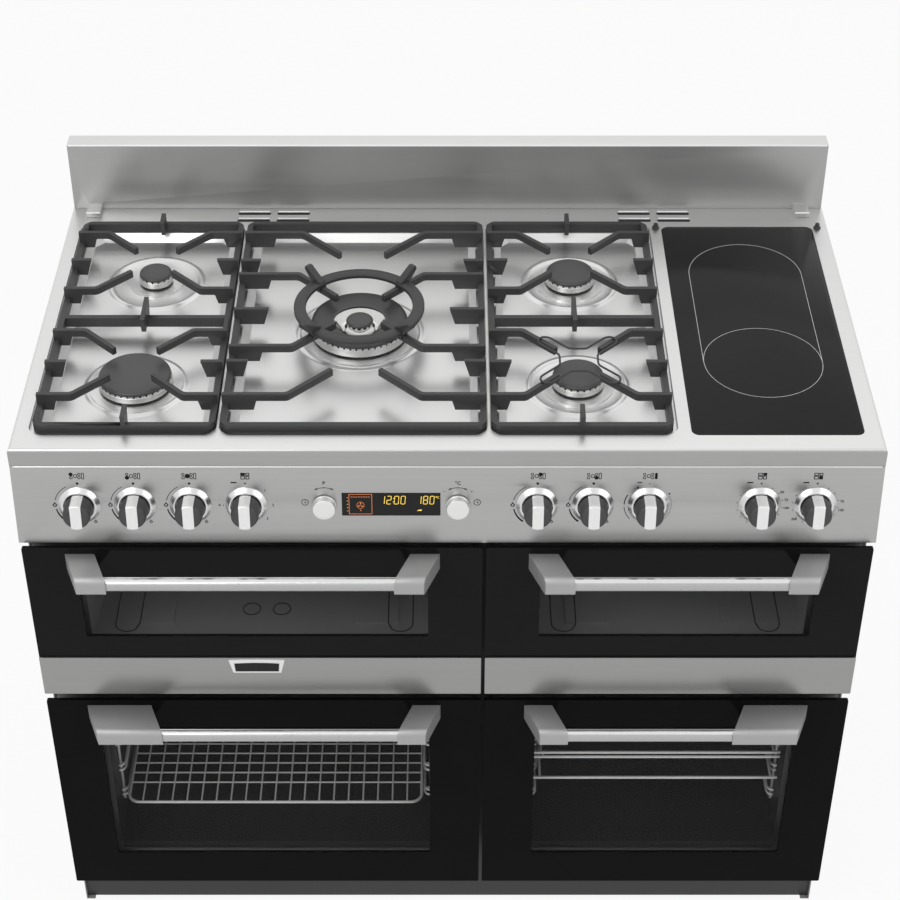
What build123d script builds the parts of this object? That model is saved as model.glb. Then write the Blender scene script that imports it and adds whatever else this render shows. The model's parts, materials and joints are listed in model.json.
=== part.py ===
from build123d import *
import os
from math import atan2, cos, pi, radians, sin, sqrt, tan

os.makedirs("parts", exist_ok=True)

# A free-standing dual fuel range cooker, 110 cm class: five gas burners, a two-ring ceramic
# plate, four drop-down ovens. Millimetres, +X to the right, +Y to the wall, +Z up, floor at z = 0.

# Overall sizes
hob_width = 1100.0
hob_depth = 607.0
hob_height = 900.0
sheet = 1.2
thick_sheet = 1.5
hob_round = 4.8
seat_gap = 0.3
small_sides = 8
pin_sides = 12
hex_sides = 6
door_stand = 20.0
handle_reach = 52.0
body_inset = 3.0
hob_front = (door_stand + handle_reach - hob_depth) / 2
hob_rear = hob_front + hob_depth
body_half = hob_width / 2 - body_inset

# Control panel
apron_height = 25.0
panel_gap = 1.0
panel_height = 114.0
panel_lean = 14.0
panel_top = hob_height - apron_height - panel_gap
panel_bottom = panel_top - panel_height
lean = atan2(panel_lean, panel_height)
panel_normal = (0, -cos(lean), sin(lean))

# Doors
panel_door_gap = 4.0
upper_door_height = 258.0
lower_door_height = 373.0
door_gap = 15.0
split_share = 0.0432
split_x = split_share * hob_width
split_gap = 4.6
glass_thickness = 5.0
liner_depth = 30.0
liner_side = 12.0
liner_bottom = 22.0
liner_top = 6.0
strip_height = 67.0
strip_proud = 3.0
window_inner_margin = 71.0
window_outer_margin = 67.5
upper_door_top = panel_bottom - panel_door_gap
upper_door_bottom = upper_door_top - upper_door_height
lower_door_top = upper_door_bottom - door_gap
lower_door_bottom = lower_door_top - lower_door_height
glass_front = hob_front - door_stand
glass_back = glass_front + glass_thickness
door_back = glass_back + liner_depth
left_door = (-body_half, split_x - split_gap / 2)
right_door = (split_x + split_gap / 2, body_half)
upper_window_rise = 104.0
window_drop = 24.0
lower_window_rise = 62.0
lower_window_drop = 38.0
pane_overlap = 14.0
pane_thickness = 4.0

# Door hinges
hinge_from_glass = 12.0
hinge_up = 12.0
hinge_inset = 40.0
hinge_radius = 5.0
hinge_plate = 5.0
hinge_side_gap = 0.5
pin_radius = 3.0
pin_clearance = 0.05

# Handles
handle_drop = 9.5
bracket_width = 38.0
wide_bracket_width = 87.0
bracket_slant = 20.0
bracket_height = 25.0
bracket_round = 9.0
bracket_under_round = 3.0
handle_margin = 55.0
handle_bar_radius = 9.7
bar_sides = 12
handle_bar_reach = 40.0
handle_bar_drop = 15.5

# Front frame and ovens
seal_depth = 5.0
frame_front = door_back + seal_depth
frame_back = frame_front + thick_sheet
oven_wall = 1.5
oven_depth = 430.0
oven_side_margin = 3.0
upper_floor_rise = 46.0
upper_roof_drop = 22.0
lower_floor_rise = 40.0
lower_roof_drop = 28.0
upper_oven_floor = upper_door_bottom + upper_floor_rise
upper_oven_roof = upper_door_top - upper_roof_drop
lower_oven_floor = lower_door_bottom + lower_floor_rise
lower_oven_roof = lower_door_top - lower_roof_drop
oven_back = frame_back + oven_depth
seal_width = 7.0
seal_gap = 0.4
emboss_height = 3.0
emboss_margin = 45.0
emboss_width = 60.0
vent_slot_length = 70.0
vent_slot_height = 5.0
vent_slots = 4

# Outer casing
casing_rear_gap = 32.0
casing_rear = hob_rear - casing_rear_gap
casing_top = hob_height - hob_round
frame_half = body_half - sheet
base_drop = 14.0
base_z = lower_door_bottom - base_drop
plinth_set_back = 6.0
plinth_foot_gap = 22.0
tray_front = frame_front + plinth_set_back
flange = 13.0
louvre_length = 90.0
louvre_width = 6.0
louvre_rows = 5
louvre_pitch = 16.0
terminal_width = 120.0
terminal_height = 90.0
terminal_depth = 22.0
terminal_margin = 170.0
terminal_x = hob_width / 2 - terminal_margin
terminal_z = 300.0
gland_bore = 7.0
gland_depth = 22.5
foot_inset = 70.0
foot_pad_radius = 22.0
foot_pad_height = 12.0
foot_stem_radius = 8.0

# Splashback
splash_depth = 30.0
splash_height = 105.0
splash_inset = 2.5
splash_round = 2.4
splash_tab_width = 20.5
splash_tab_depth = 26.0
splash_tab_height = 8.0
splash_tab_margin = 34.0
splash_tab_x = hob_width / 2 - splash_tab_margin

# Layout across the hob: two side supports share the width that the centre one and the plate leave
support_margin = 25.5
support_gap = 5.5
ceramic_gap = 22.0
ceramic_side = 23.5
ceramic_width = 218.0
centre_support_width = 338.0
ceramic_x = hob_width / 2 - ceramic_side - ceramic_width / 2
supports_span = hob_width - support_margin - ceramic_gap - ceramic_width - ceramic_side
side_support_width = (supports_span - centre_support_width) / 2 - support_gap
left_burner_x = support_margin + side_support_width / 2 - hob_width / 2
centre_burner_x = left_burner_x + side_support_width / 2 + support_gap + centre_support_width / 2
right_burner_x = centre_burner_x + centre_support_width / 2 + support_gap + side_support_width / 2
support_set_back = 282.0
support_centre_y = hob_front + support_set_back
burner_row = 121.7
ring_burner_lift = 2.5

# Pan supports
support_depth = 487.0
support_bar = 8.0
support_corner = 9.0
support_bar_height = 14.0
support_sink = 5.0
finger_rise = 22.7
finger_width = 6.0
finger_depth = 10.0
finger_turn = 45.0
tab_length = 28.0
tab_depth = 24.0
tab_slant = 7.0
long_tab_length = 47.0
finger_row = 71.6
side_finger_straight = side_support_width / 2 - finger_row
side_finger_diagonal = 61.0
centre_finger_diagonal = 77.0
centre_inner_row = 86.0
centre_finger_straight = centre_support_width / 2 - centre_inner_row
centre_tab_row = 120.5

# Wok ring and small-pan trivet
wok_sides = 20
wok_outer = 88.0
wok_inner = 72.0
wok_thickness = 6.0
lug_width = 8.0
lug_inner = 73.0
lug_outer = 99.0
lug_rise = 15.0
foot_plate = 3.0
foot_length = 16.0
foot_drop = 6.0
wire_radius = 1.4
trivet_inner = 27.0
trivet_half_side = 11.0
trivet_loop_reach = 66.0
trivet_loop_half = 6.5

# Hob pressings
well_outer_margin = 5.5
well_inner_margin = 1.25
well_front_margin = 7.5
well_corner = 12.0
ledge_width = 12.0
well_depth = 18.0
well_slope = 10.0
boss_height = 2.5
boss_margin = 15.0

# Ceramic plate
ceramic_depth = 494.0
ceramic_set_back = 31.0
ceramic_front = hob_front + ceramic_set_back
ceramic_middle_y = ceramic_front + ceramic_depth / 2
ceramic_thickness = 4.0
ceramic_corner = 10.0
ceramic_ledge = 10.0
zone_shift = 1.1
zone_x = ceramic_x - zone_shift
front_zone_set_back = 158.0
rear_zone_set_back = 368.0
front_zone_y = ceramic_front + front_zone_set_back
rear_zone_y = ceramic_front + rear_zone_set_back
radiant_radius = 78.5
radiant_height = 22.0
radiant_wall = 8.0

# Vent slots in the hob
vent_length = 47.0
vent_width = 5.0
vent_pitch_x = 57.0
vent_pitch_y = 19.0
vent_set_back = 552.4
vent_y = hob_front + vent_set_back
vent_left_margin = 296.5
vent_right_margin = 250.0
vent_left_x = vent_left_margin - hob_width / 2
vent_right_x = hob_width / 2 - vent_right_margin

# Burners
burner_sides = 16
small_cap = 22.3
medium_cap = 33.2
large_cap = 47.2
ring_cap = 65.0
ring_cap_inner = 35.0
pilot_cap = 18.5
cap_thickness = 5.0
cap_taper = 18.0
cap_sides = 18
cap_above_hob = 3.4
head_lip = 1.2
port_width = 3.2
port_depth = 3.0
head_wall = 6.0
port_length = 24.0
head_floor = 3.0
venturi_radius = 7.0
port_pitch = 30.0
base_inset = 0.6
base_thickness = 3.0
cup_depth = 24.0
cup_inset = 4.0
cup_wall = 2.0

# Knobs
knob_sides = 16
knob_margin = 83.0
knob_edge_x = hob_width / 2 - knob_margin
knob_pitch = 70.6
centre_knob_gap = 66.5
centre_knob_x = split_x + centre_knob_gap
display_gap = 118.9
display_x = split_x - display_gap
display_width = 125.0
display_height = 34.0
display_up = 1.3
encoder_spread = 84.7
knob_base_radius = 18.3
knob_taper = 4.0
knob_front = 31.0
knob_back = 5.0
knob_strip_width = 14.0
knob_strip_proud = 0.5
bezel_radius = 26.5
bezel_taper = 44.0
bezel_hole = 19.4
bezel_height = 6.0
encoder_taper = 3.0
encoder_base_radius = 15.2
encoder_front = 13.0
encoder_back = 0.6
spindle_radius = 4.0
spindle_gap = 0.2
spindle_depth = 14.0
spindle_travel = 4.0
panel_hole = 6.0
tap_size = 24.0
tap_depth = 34.0
rail_size = 14.0
switch_size = 34.0
switch_depth = 26.0
display_thickness = 3.0
encoder_body = 22.0
board_margin = 9.0
board_depth = 12.0

# Gas train
tap_bore_spare = 2.0
tap_bore_depth = spindle_depth + spindle_travel + tap_bore_spare
rail_overhang = 36.0
supply_radius = 8.0
supply_hole_gap = 1.2
inlet_reach = 16.0
inlet_drop = 34.0
inlet_nut = 13.0
inlet_bore = 9.0
inlet_thread = 14.0

# Oven furniture
runner_ledge = 4.0
runner_plate = 2.0
runner_out = 13.0
rack_rise = 73.0
rack_level = lower_oven_floor + rack_rise
rack_pitch = 52.0
runner_levels = 4
runner_inset = 40.0
rack_side_gap = 6.0
rack_wire = 3.0
rack_rim = 5.0
rack_front_gap = 12.0
rack_rear_gap = 44.0
rack_wire_gap = 0.05
rack_wires = 7
rack_bars = 2
element_radius = 4.0
element_drop = 28.0
element_margin = 50.0
ring_element_radius = 92.0
ring_element_depth = 24.0
fan_sides = 12
fan_radius = 68.0
fan_blade_length = 34.0
fan_blade_height = 18.0
fan_blades = 8
fan_disc = 2.0
fan_wall_gap = 8.0
fan_shaft_radius = 5.0
fan_hole_gap = 1.5
motor_radius = 36.0
motor_length = 40.0
motor_gap = 2.0
shaft_reach = 14.0


def panel_plane(x, up=0.0, out=0.0):
    """A plane on the control panel's face, looking out, at x and a height along the face."""
    origin_y = hob_front - panel_lean / 2 + up * sin(lean) - out * cos(lean)
    origin_z = (panel_top + panel_bottom) / 2 + up * cos(lean) + out * sin(lean)
    return Plane(origin=(x, origin_y, origin_z), x_dir=(1, 0, 0), z_dir=panel_normal)


def front_plane(y):
    """A plane looking out of the cooker's front, at depth y."""
    return Plane.XZ.offset(-y)


gas_knob_x = [-knob_edge_x + i * knob_pitch for i in range(3)]
gas_knob_x += [centre_knob_x + i * knob_pitch for i in range(2)]
left_oven_knob_x = -knob_edge_x + 3 * knob_pitch
plate_knob_x = centre_knob_x + 2 * knob_pitch
right_oven_knob_x = [knob_edge_x - knob_pitch, knob_edge_x]
switch_knob_x = [left_oven_knob_x, plate_knob_x] + right_oven_knob_x
big_knob_x = gas_knob_x + switch_knob_x
encoder_x = [display_x - encoder_spread, display_x + encoder_spread]

front_burner_y = support_centre_y - burner_row
rear_burner_y = support_centre_y + burner_row
small_burner = (left_burner_x, rear_burner_y, small_cap)
large_burner = (left_burner_x, front_burner_y, large_cap)
rear_medium_burner = (right_burner_x, rear_burner_y, medium_cap)
front_medium_burner = (right_burner_x, front_burner_y, medium_cap)
round_burners = [small_burner, large_burner, rear_medium_burner, front_medium_burner]
ring_burner = (centre_burner_x, support_centre_y, ring_cap)
burners = round_burners + [ring_burner]

well_floor = hob_height - well_depth
boss_top = well_floor + boss_height
ledge_z = hob_height - support_sink - seat_gap
cap_top = hob_height + cap_above_hob
cap_bottom = cap_top - cap_thickness

support_left_edges = [
    left_burner_x - side_support_width / 2,
    centre_burner_x - centre_support_width / 2,
    right_burner_x - side_support_width / 2,
]
support_right_edges = [
    left_burner_x + side_support_width / 2,
    centre_burner_x + centre_support_width / 2,
    right_burner_x + side_support_width / 2,
]
well_left_margins = [well_outer_margin, well_inner_margin, well_inner_margin]
well_right_margins = [well_inner_margin, well_inner_margin, well_outer_margin]
wells = []
for i in range(3):
    well_left = support_left_edges[i] - well_left_margins[i]
    well_right = support_right_edges[i] + well_right_margins[i]
    wells.append((well_left, well_right))
well_length = support_depth + 2 * well_front_margin
pressed_length = well_length - 2 * ledge_width
floor_length = pressed_length - 2 * well_slope


# Hob top: a folded sheet with three stepped wells, a recess for the ceramic plate and vent slots
with BuildPart() as hob_top:
    with Locations((0, hob_front + hob_depth / 2, hob_height - apron_height / 2)):
        Box(hob_width, hob_depth, apron_height)
    top_edges = hob_top.faces().sort_by(Axis.Z)[-1].edges()
    fillet(top_edges, radius=hob_round)
    offset(amount=-sheet, openings=hob_top.faces().sort_by(Axis.Z)[0])
    for left, right in wells:
        middle = (left + right) / 2
        width = right - left
        pressed_width = width - 2 * ledge_width
        floor_width = pressed_width - 2 * well_slope
        with BuildSketch(Plane.XY.offset(hob_height - sheet)):
            with Locations((middle, support_centre_y)):
                Rectangle(width + 2 * sheet, well_length + 2 * sheet)
        extrude(amount=-(hob_height - ledge_z))
        with BuildSketch(Plane.XY.offset(ledge_z - sheet)):
            with Locations((middle, support_centre_y)):
                Rectangle(pressed_width + 2 * sheet, pressed_length + 2 * sheet)
        with BuildSketch(Plane.XY.offset(well_floor - sheet)):
            with Locations((middle, support_centre_y)):
                Rectangle(floor_width + 2 * sheet, floor_length + 2 * sheet)
        loft(ruled=True)
    for left, right in wells:
        middle = (left + right) / 2
        width = right - left
        pressed_width = width - 2 * ledge_width
        floor_width = pressed_width - 2 * well_slope
        with BuildSketch(Plane.XY.offset(hob_height)) as rim:
            with Locations((middle, support_centre_y)):
                Rectangle(width, well_length)
            chamfer(rim.vertices(), length=well_corner)
        extrude(amount=-(hob_height - ledge_z), mode=Mode.SUBTRACT)
        with BuildSketch(Plane.XY.offset(ledge_z)) as mouth:
            with Locations((middle, support_centre_y)):
                Rectangle(pressed_width, pressed_length)
            chamfer(mouth.vertices(), length=well_corner)
        with BuildSketch(Plane.XY.offset(well_floor)) as foot:
            with Locations((middle, support_centre_y)):
                Rectangle(floor_width, floor_length)
            chamfer(foot.vertices(), length=well_corner)
        loft(ruled=True, mode=Mode.SUBTRACT)
    for x, y, radius in burners:
        with BuildSketch(Plane.XY.offset(well_floor)):
            with Locations((x, y)):
                RegularPolygon(radius + boss_margin, burner_sides)
        extrude(amount=boss_height)
        with BuildSketch(Plane.XY.offset(boss_top)):
            with Locations((x, y)):
                RegularPolygon(radius - cup_inset, small_sides)
        extrude(amount=-well_depth, mode=Mode.SUBTRACT)
    with Locations((ceramic_x, ceramic_middle_y, hob_height - sheet - ceramic_thickness / 2)):
        Box(ceramic_width + 4 * sheet, ceramic_depth + 4 * sheet, ceramic_thickness)
    with BuildSketch(Plane.XY.offset(hob_height)):
        with Locations((ceramic_x, ceramic_middle_y)):
            RectangleRounded(ceramic_width + 2 * seat_gap, ceramic_depth + 2 * seat_gap, ceramic_corner)
    extrude(amount=-ceramic_thickness, mode=Mode.SUBTRACT)
    with Locations((ceramic_x, ceramic_middle_y, hob_height)):
        Box(
            ceramic_width - 2 * ceramic_ledge,
            ceramic_depth - 2 * ceramic_ledge,
            4 * ceramic_thickness,
            mode=Mode.SUBTRACT,
        )
    with BuildSketch(Plane.XY.offset(hob_height)):
        with Locations((vent_left_x, vent_y), (vent_right_x, vent_y)):
            with GridLocations(vent_pitch_x, vent_pitch_y, 2, 2):
                Rectangle(vent_length, vent_width)
    extrude(amount=-2 * sheet, mode=Mode.SUBTRACT)

hob_top.part.label = "hob_top"
export_step(hob_top.part, "parts/hob_top.step")


# Splashback: a hollow upstand on the hob's rear edge, with two fixing tabs at its foot
with BuildPart() as splashback:
    with Locations((0, hob_rear - splash_depth / 2, hob_height + splash_height / 2)):
        Box(hob_width - 2 * splash_inset, splash_depth, splash_height)
    fillet(splashback.faces().sort_by(Axis.Z)[-1].edges().filter_by(Axis.X), radius=splash_round)
    offset(amount=-sheet, openings=splashback.faces().sort_by(Axis.Z)[0])
    tab_y = hob_rear - splash_depth - splash_tab_depth / 2
    with Locations((-splash_tab_x, tab_y, hob_height + splash_tab_height / 2)):
        Box(splash_tab_width, splash_tab_depth, splash_tab_height)
    with Locations((splash_tab_x, tab_y, hob_height + splash_tab_height / 2)):
        Box(splash_tab_width, splash_tab_depth, splash_tab_height)

splashback.part.label = "splashback"
export_step(splashback.part, "parts/splashback.step")


# Ceramic plate
with BuildPart() as ceramic_glass:
    with BuildSketch(Plane.XY.offset(hob_height)):
        with Locations((ceramic_x, ceramic_middle_y)):
            RectangleRounded(ceramic_width, ceramic_depth, ceramic_corner)
    extrude(amount=-ceramic_thickness)

ceramic_glass.part.label = "ceramic_glass"
export_step(ceramic_glass.part, "parts/ceramic_glass.step")


# Burners, from below: cups under the hob, cast heads with flame ports, enamelled caps
head_bottom = boss_top + base_thickness

with BuildPart() as burner_bases:
    for x, y, radius in burners:
        cup_radius = radius - cup_inset - seat_gap
        with BuildSketch(Plane.XY.offset(boss_top)):
            with Locations((x, y)):
                RegularPolygon(radius + head_lip - base_inset, small_sides)
        extrude(amount=base_thickness)
        with BuildSketch(Plane.XY.offset(boss_top)):
            with Locations((x, y)):
                RegularPolygon(cup_radius, small_sides)
        extrude(amount=-cup_depth)
        with BuildSketch(Plane.XY.offset(head_bottom)):
            with Locations((x, y)):
                RegularPolygon(cup_radius - cup_wall, small_sides)
        extrude(amount=-cup_depth, mode=Mode.SUBTRACT)

burner_bases.part.label = "burner_bases"
export_step(burner_bases.part, "parts/burner_bases.step")


def head_ring(x, y, radius, top):
    """A cup-shaped burner head whose upper edge is slotted all round with flame ports."""
    ports = 2 * int(pi * radius / port_pitch)
    with BuildSketch(Plane.XY.offset(head_bottom)) as cup:
        with Locations((x, y)):
            RegularPolygon(radius + head_lip, burner_sides)
    extrude(cup.sketch, amount=top - head_bottom)
    with BuildSketch(Plane.XY.offset(head_bottom + head_floor)) as hollow:
        with Locations((x, y)):
            RegularPolygon(radius - head_wall, small_sides)
    extrude(hollow.sketch, amount=top - head_bottom, mode=Mode.SUBTRACT)
    with BuildSketch(Plane.XY.offset(top)) as slots:
        with Locations((x, y)):
            with PolarLocations(radius - head_wall / 2, ports, start_angle=180 / ports):
                Rectangle(port_length, port_width)
    extrude(slots.sketch, amount=-port_depth, mode=Mode.SUBTRACT)


with BuildPart() as burner_heads:
    for x, y, radius in round_burners:
        head_ring(x, y, radius, cap_bottom)
    ring_x, ring_y, ring_radius = ring_burner
    ring_cap_bottom = cap_bottom + ring_burner_lift
    head_ring(ring_x, ring_y, ring_radius, ring_cap_bottom)
    pilot_height = ring_cap_bottom - head_bottom - head_floor
    with BuildSketch(Plane.XY.offset(head_bottom + head_floor)):
        with Locations((ring_x, ring_y)):
            RegularPolygon(pilot_cap + head_lip, burner_sides)
            RegularPolygon(pilot_cap - head_wall, pin_sides, mode=Mode.SUBTRACT)
    extrude(amount=pilot_height)
    with BuildSketch(Plane.XY.offset(head_bottom)):
        for x, y, radius in burners:
            with Locations((x, y)):
                RegularPolygon(venturi_radius, hex_sides)
    extrude(amount=head_floor, mode=Mode.SUBTRACT)

burner_heads.part.label = "burner_heads"
export_step(burner_heads.part, "parts/burner_heads.step")

with BuildPart() as burner_caps:
    for x, y, radius in round_burners:
        with BuildSketch(Plane.XY.offset(cap_bottom)):
            with Locations((x, y)):
                RegularPolygon(radius, cap_sides)
        extrude(amount=cap_thickness, taper=cap_taper)
    with BuildSketch(Plane.XY.offset(ring_cap_bottom)):
        with Locations((ring_x, ring_y)):
            RegularPolygon(ring_radius, cap_sides)
    extrude(amount=cap_thickness, taper=cap_taper)
    with BuildSketch(Plane.XY.offset(ring_cap_bottom)):
        with Locations((ring_x, ring_y)):
            RegularPolygon(ring_cap_inner, cap_sides)
    extrude(amount=cap_thickness, mode=Mode.SUBTRACT)
    with BuildSketch(Plane.XY.offset(ring_cap_bottom)):
        with Locations((ring_x, ring_y)):
            RegularPolygon(pilot_cap, burner_sides)
    extrude(amount=cap_thickness, taper=cap_taper)

burner_caps.part.label = "burner_caps"
export_step(burner_caps.part, "parts/burner_caps.step")


# Cast pan supports: a low frame with tabs, stubs and cranked fingers standing above it
finger_top = hob_height + finger_rise
finger_bottom = finger_top - finger_depth
tab_bottom = finger_top - tab_depth
frame_bottom = hob_height - support_sink
half_finger = finger_width / 2
mitre = half_finger * tan(radians(finger_turn / 2))
half_depth = support_depth / 2


def tab(root_x, side, y, length):
    """An upright tab on a side rail, drawn in towards its foot; side is +1 when it points to +X."""
    with BuildSketch(front_plane(y + half_finger)) as profile:
        with BuildLine():
            Polyline(
                (root_x, finger_top),
                (root_x + side * length, finger_top),
                (root_x + side * (length - tab_slant), tab_bottom),
                (root_x, tab_bottom),
                close=True,
            )
        make_face()
    extrude(profile.sketch, amount=finger_width)


def stub(x, y, side, length):
    """An upright stub on a cross bar; side is +1 when it points to the rear."""
    with BuildSketch(Plane.YZ.offset(x - half_finger)) as profile:
        with BuildLine():
            Polyline(
                (y, finger_top),
                (y + side * length, finger_top),
                (y + side * (length - tab_slant), tab_bottom),
                (y, tab_bottom),
                close=True,
            )
        make_face()
    extrude(profile.sketch, amount=finger_width)


def finger(root_x, side, y, turn, straight, diagonal):
    """A finger that runs in from a side rail and then turns 45 degrees; turn is +1 to the rear."""
    reach = diagonal * cos(radians(finger_turn))
    edge = half_finger * cos(radians(finger_turn))
    with BuildSketch(Plane.XY.offset(finger_bottom)) as profile:
        with BuildLine():
            Polyline(
                (root_x, y + turn * half_finger),
                (root_x + side * (straight - mitre), y + turn * half_finger),
                (root_x + side * (straight + reach - edge), y + turn * (reach + edge)),
                (root_x + side * (straight + reach + edge), y + turn * (reach - edge)),
                (root_x + side * (straight + mitre), y - turn * half_finger),
                (root_x, y - turn * half_finger),
                close=True,
            )
        make_face()
    extrude(profile.sketch, amount=finger_depth)


def support_frame(x, width, bar_rows):
    """The support's low outer frame, with cross bars at the given depths."""
    with BuildSketch(Plane.XY.offset(frame_bottom)) as outline:
        with Locations((x, support_centre_y)):
            Rectangle(width, support_depth)
        chamfer(outline.vertices(), length=support_corner)
        with Locations((x, support_centre_y)):
            Rectangle(width - 2 * support_bar, support_depth - 2 * support_bar, mode=Mode.SUBTRACT)
        for row in bar_rows:
            with Locations((x, support_centre_y + row)):
                Rectangle(width - support_bar, support_bar)
    extrude(outline.sketch, amount=support_bar_height)


def side_support(x, name):
    """A two-burner pan support."""
    with BuildPart() as support:
        support_frame(x, side_support_width, [0.0])
        for side in (-1, 1):
            root_x = x + side * side_support_width / 2
            for burner_y in (front_burner_y, rear_burner_y):
                tab(root_x, -side, burner_y, tab_length)
                for turn in (-1, 1):
                    row_y = burner_y - turn * finger_row
                    tab(root_x, -side, row_y, tab_length)
                    finger(root_x, -side, row_y, turn, side_finger_straight, side_finger_diagonal)
            stub(x, support_centre_y, side, tab_length)
            stub(x, support_centre_y + side * half_depth, -side, tab_length)
    support.part.label = name
    export_step(support.part, f"parts/{name}.step")


side_support(left_burner_x, "pan_support_left")
side_support(right_burner_x, "pan_support_right")

with BuildPart() as pan_support_centre:
    support_frame(centre_burner_x, centre_support_width, [])
    for side in (-1, 1):
        root_x = centre_burner_x + side * centre_support_width / 2
        tab(root_x, -side, support_centre_y, long_tab_length)
        for turn in (-1, 1):
            tab(root_x, -side, support_centre_y - turn * centre_tab_row, tab_length)
            for row in (centre_inner_row, burner_row + finger_row):
                row_y = support_centre_y - turn * row
                tab(root_x, -side, row_y, long_tab_length)
                finger(root_x, -side, row_y, turn, centre_finger_straight, centre_finger_diagonal)

pan_support_centre.part.label = "pan_support_centre"
export_step(pan_support_centre.part, "parts/pan_support_centre.step")


# Wok ring: a flat ring with four sloping lugs, whose feet straddle the centre fingers
wok_bottom = finger_top + seat_gap
wok_middle = (wok_outer + wok_inner) / 2
foot_offset = half_finger + seat_gap + foot_plate / 2

with BuildPart() as wok_ring:
    with BuildSketch(Plane.XY.offset(wok_bottom)):
        with Locations((centre_burner_x, support_centre_y)):
            RegularPolygon(wok_outer, wok_sides)
            RegularPolygon(wok_inner, wok_sides, mode=Mode.SUBTRACT)
    extrude(amount=wok_thickness)
    for i in range(4):
        turn = finger_turn + 90 * i
        turned = Plane(origin=(centre_burner_x, support_centre_y, wok_bottom)).rotated((0, 0, turn))
        lug_plane = Plane(origin=turned.origin, x_dir=turned.x_dir, z_dir=-turned.y_dir)
        with BuildSketch(lug_plane.offset(-lug_width / 2)):
            with BuildLine():
                Polyline(
                    (lug_inner, 0),
                    (wok_outer, 0),
                    (lug_outer, lug_rise),
                    (lug_outer - lug_width, wok_thickness + lug_rise),
                    (lug_inner, wok_thickness),
                    close=True,
                )
            make_face()
        extrude(amount=lug_width)
        with BuildSketch(turned):
            with Locations((wok_middle, foot_offset), (wok_middle, -foot_offset)):
                Rectangle(foot_length, foot_plate)
        extrude(amount=-foot_drop)

wok_ring.part.label = "wok_ring"
export_step(wok_ring.part, "parts/wok_ring.step")


# Small-pan trivet: one closed bent wire with a loop over each finger of the front right burner
trivet_z = finger_top + seat_gap + wire_radius


def trivet_points():
    """The wire's corners round the burner, four loops on the diagonals."""
    points = [(right_burner_x, front_burner_y + trivet_inner, trivet_z)]
    for i in range(4):
        turn = radians(90 * i)
        near = (trivet_loop_reach - trivet_loop_half) / sqrt(2)
        far = (trivet_loop_reach + trivet_loop_half) / sqrt(2)
        corner = [
            (trivet_half_side, trivet_inner),
            (near, far),
            (far, near),
            (trivet_inner, trivet_half_side),
        ]
        for u, v in corner:
            px = u * cos(turn) + v * sin(turn)
            py = v * cos(turn) - u * sin(turn)
            points.append((right_burner_x + px, front_burner_y + py, trivet_z))
    return points


with BuildPart() as wire_trivet:
    with BuildLine() as wire_path:
        Polyline(*trivet_points(), close=True)
    with BuildSketch(Plane(origin=wire_path.line @ 0, z_dir=wire_path.line % 0)):
        RegularPolygon(wire_radius, hex_sides)
    sweep(path=wire_path.line, transition=Transition.RIGHT)

wire_trivet.part.label = "wire_trivet"
export_step(wire_trivet.part, "parts/wire_trivet.step")


# Control panel: a leaning folded tray with holes for the knobs and the display
with BuildPart() as control_panel:
    with BuildSketch(Plane.YZ.offset(-hob_width / 2)):
        with BuildLine():
            Polyline(
                (hob_front, panel_top),
                (hob_front - panel_lean, panel_bottom),
                (frame_front, panel_bottom),
                (frame_front, panel_top),
                close=True,
            )
        make_face()
    extrude(amount=hob_width)
    offset(amount=-thick_sheet, openings=control_panel.faces().sort_by(Axis.Y)[-1])
    for x in big_knob_x + encoder_x:
        with BuildSketch(panel_plane(x)):
            RegularPolygon(panel_hole, small_sides)
        extrude(amount=-2 * thick_sheet, mode=Mode.SUBTRACT)
    with BuildSketch(panel_plane(display_x, display_up)):
        Rectangle(display_width, display_height)
    extrude(amount=-2 * thick_sheet, mode=Mode.SUBTRACT)

control_panel.part.label = "control_panel"
export_step(control_panel.part, "parts/control_panel.step")

with BuildPart() as display_window:
    with BuildSketch(panel_plane(display_x, display_up)):
        Rectangle(display_width - 2 * seat_gap, display_height - 2 * seat_gap)
    extrude(amount=-display_thickness)

display_window.part.label = "display_window"
export_step(display_window.part, "parts/display_window.step")

with BuildPart() as knob_bezels:
    for x in big_knob_x:
        with BuildSketch(panel_plane(x)):
            RegularPolygon(bezel_radius, knob_sides)
        extrude(amount=bezel_height, taper=bezel_taper)
        with BuildSketch(panel_plane(x)):
            RegularPolygon(bezel_hole, pin_sides)
        extrude(amount=bezel_height, mode=Mode.SUBTRACT)

knob_bezels.part.label = "knob_bezels"
export_step(knob_bezels.part, "parts/knob_bezels.step")


strip_foot = sqrt(knob_base_radius**2 - (knob_strip_width / 2) ** 2)


def big_knob(x, name):
    """A round drafted grip with a flat pointer strip across its front."""
    with BuildPart() as knob:
        with BuildSketch(panel_plane(x, out=knob_back)):
            RegularPolygon(knob_base_radius, knob_sides)
        extrude(amount=knob_front - knob_back, taper=knob_taper)
        with BuildSketch(panel_plane(x, out=knob_back)):
            Rectangle(knob_strip_width, 2 * strip_foot)
        extrude(amount=knob_front + knob_strip_proud - knob_back)
    knob.part.label = name
    export_step(knob.part, f"parts/{name}.step")


def encoder_knob(x, name):
    """A small plain round knob."""
    with BuildPart() as knob:
        with BuildSketch(panel_plane(x, out=encoder_back)):
            RegularPolygon(encoder_base_radius, knob_sides)
        extrude(amount=encoder_front - encoder_back, taper=encoder_taper)
    knob.part.label = name
    export_step(knob.part, f"parts/{name}.step")


def tap_spindle(x, name):
    """The gas tap's spindle, from the tap's bore to the back of its knob."""
    with BuildPart() as spindle:
        with BuildSketch(panel_plane(x, out=-spindle_depth)):
            RegularPolygon(spindle_radius, small_sides)
        extrude(amount=spindle_depth + knob_back - spindle_gap)
    spindle.part.label = name
    export_step(spindle.part, f"parts/{name}.step")


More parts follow.
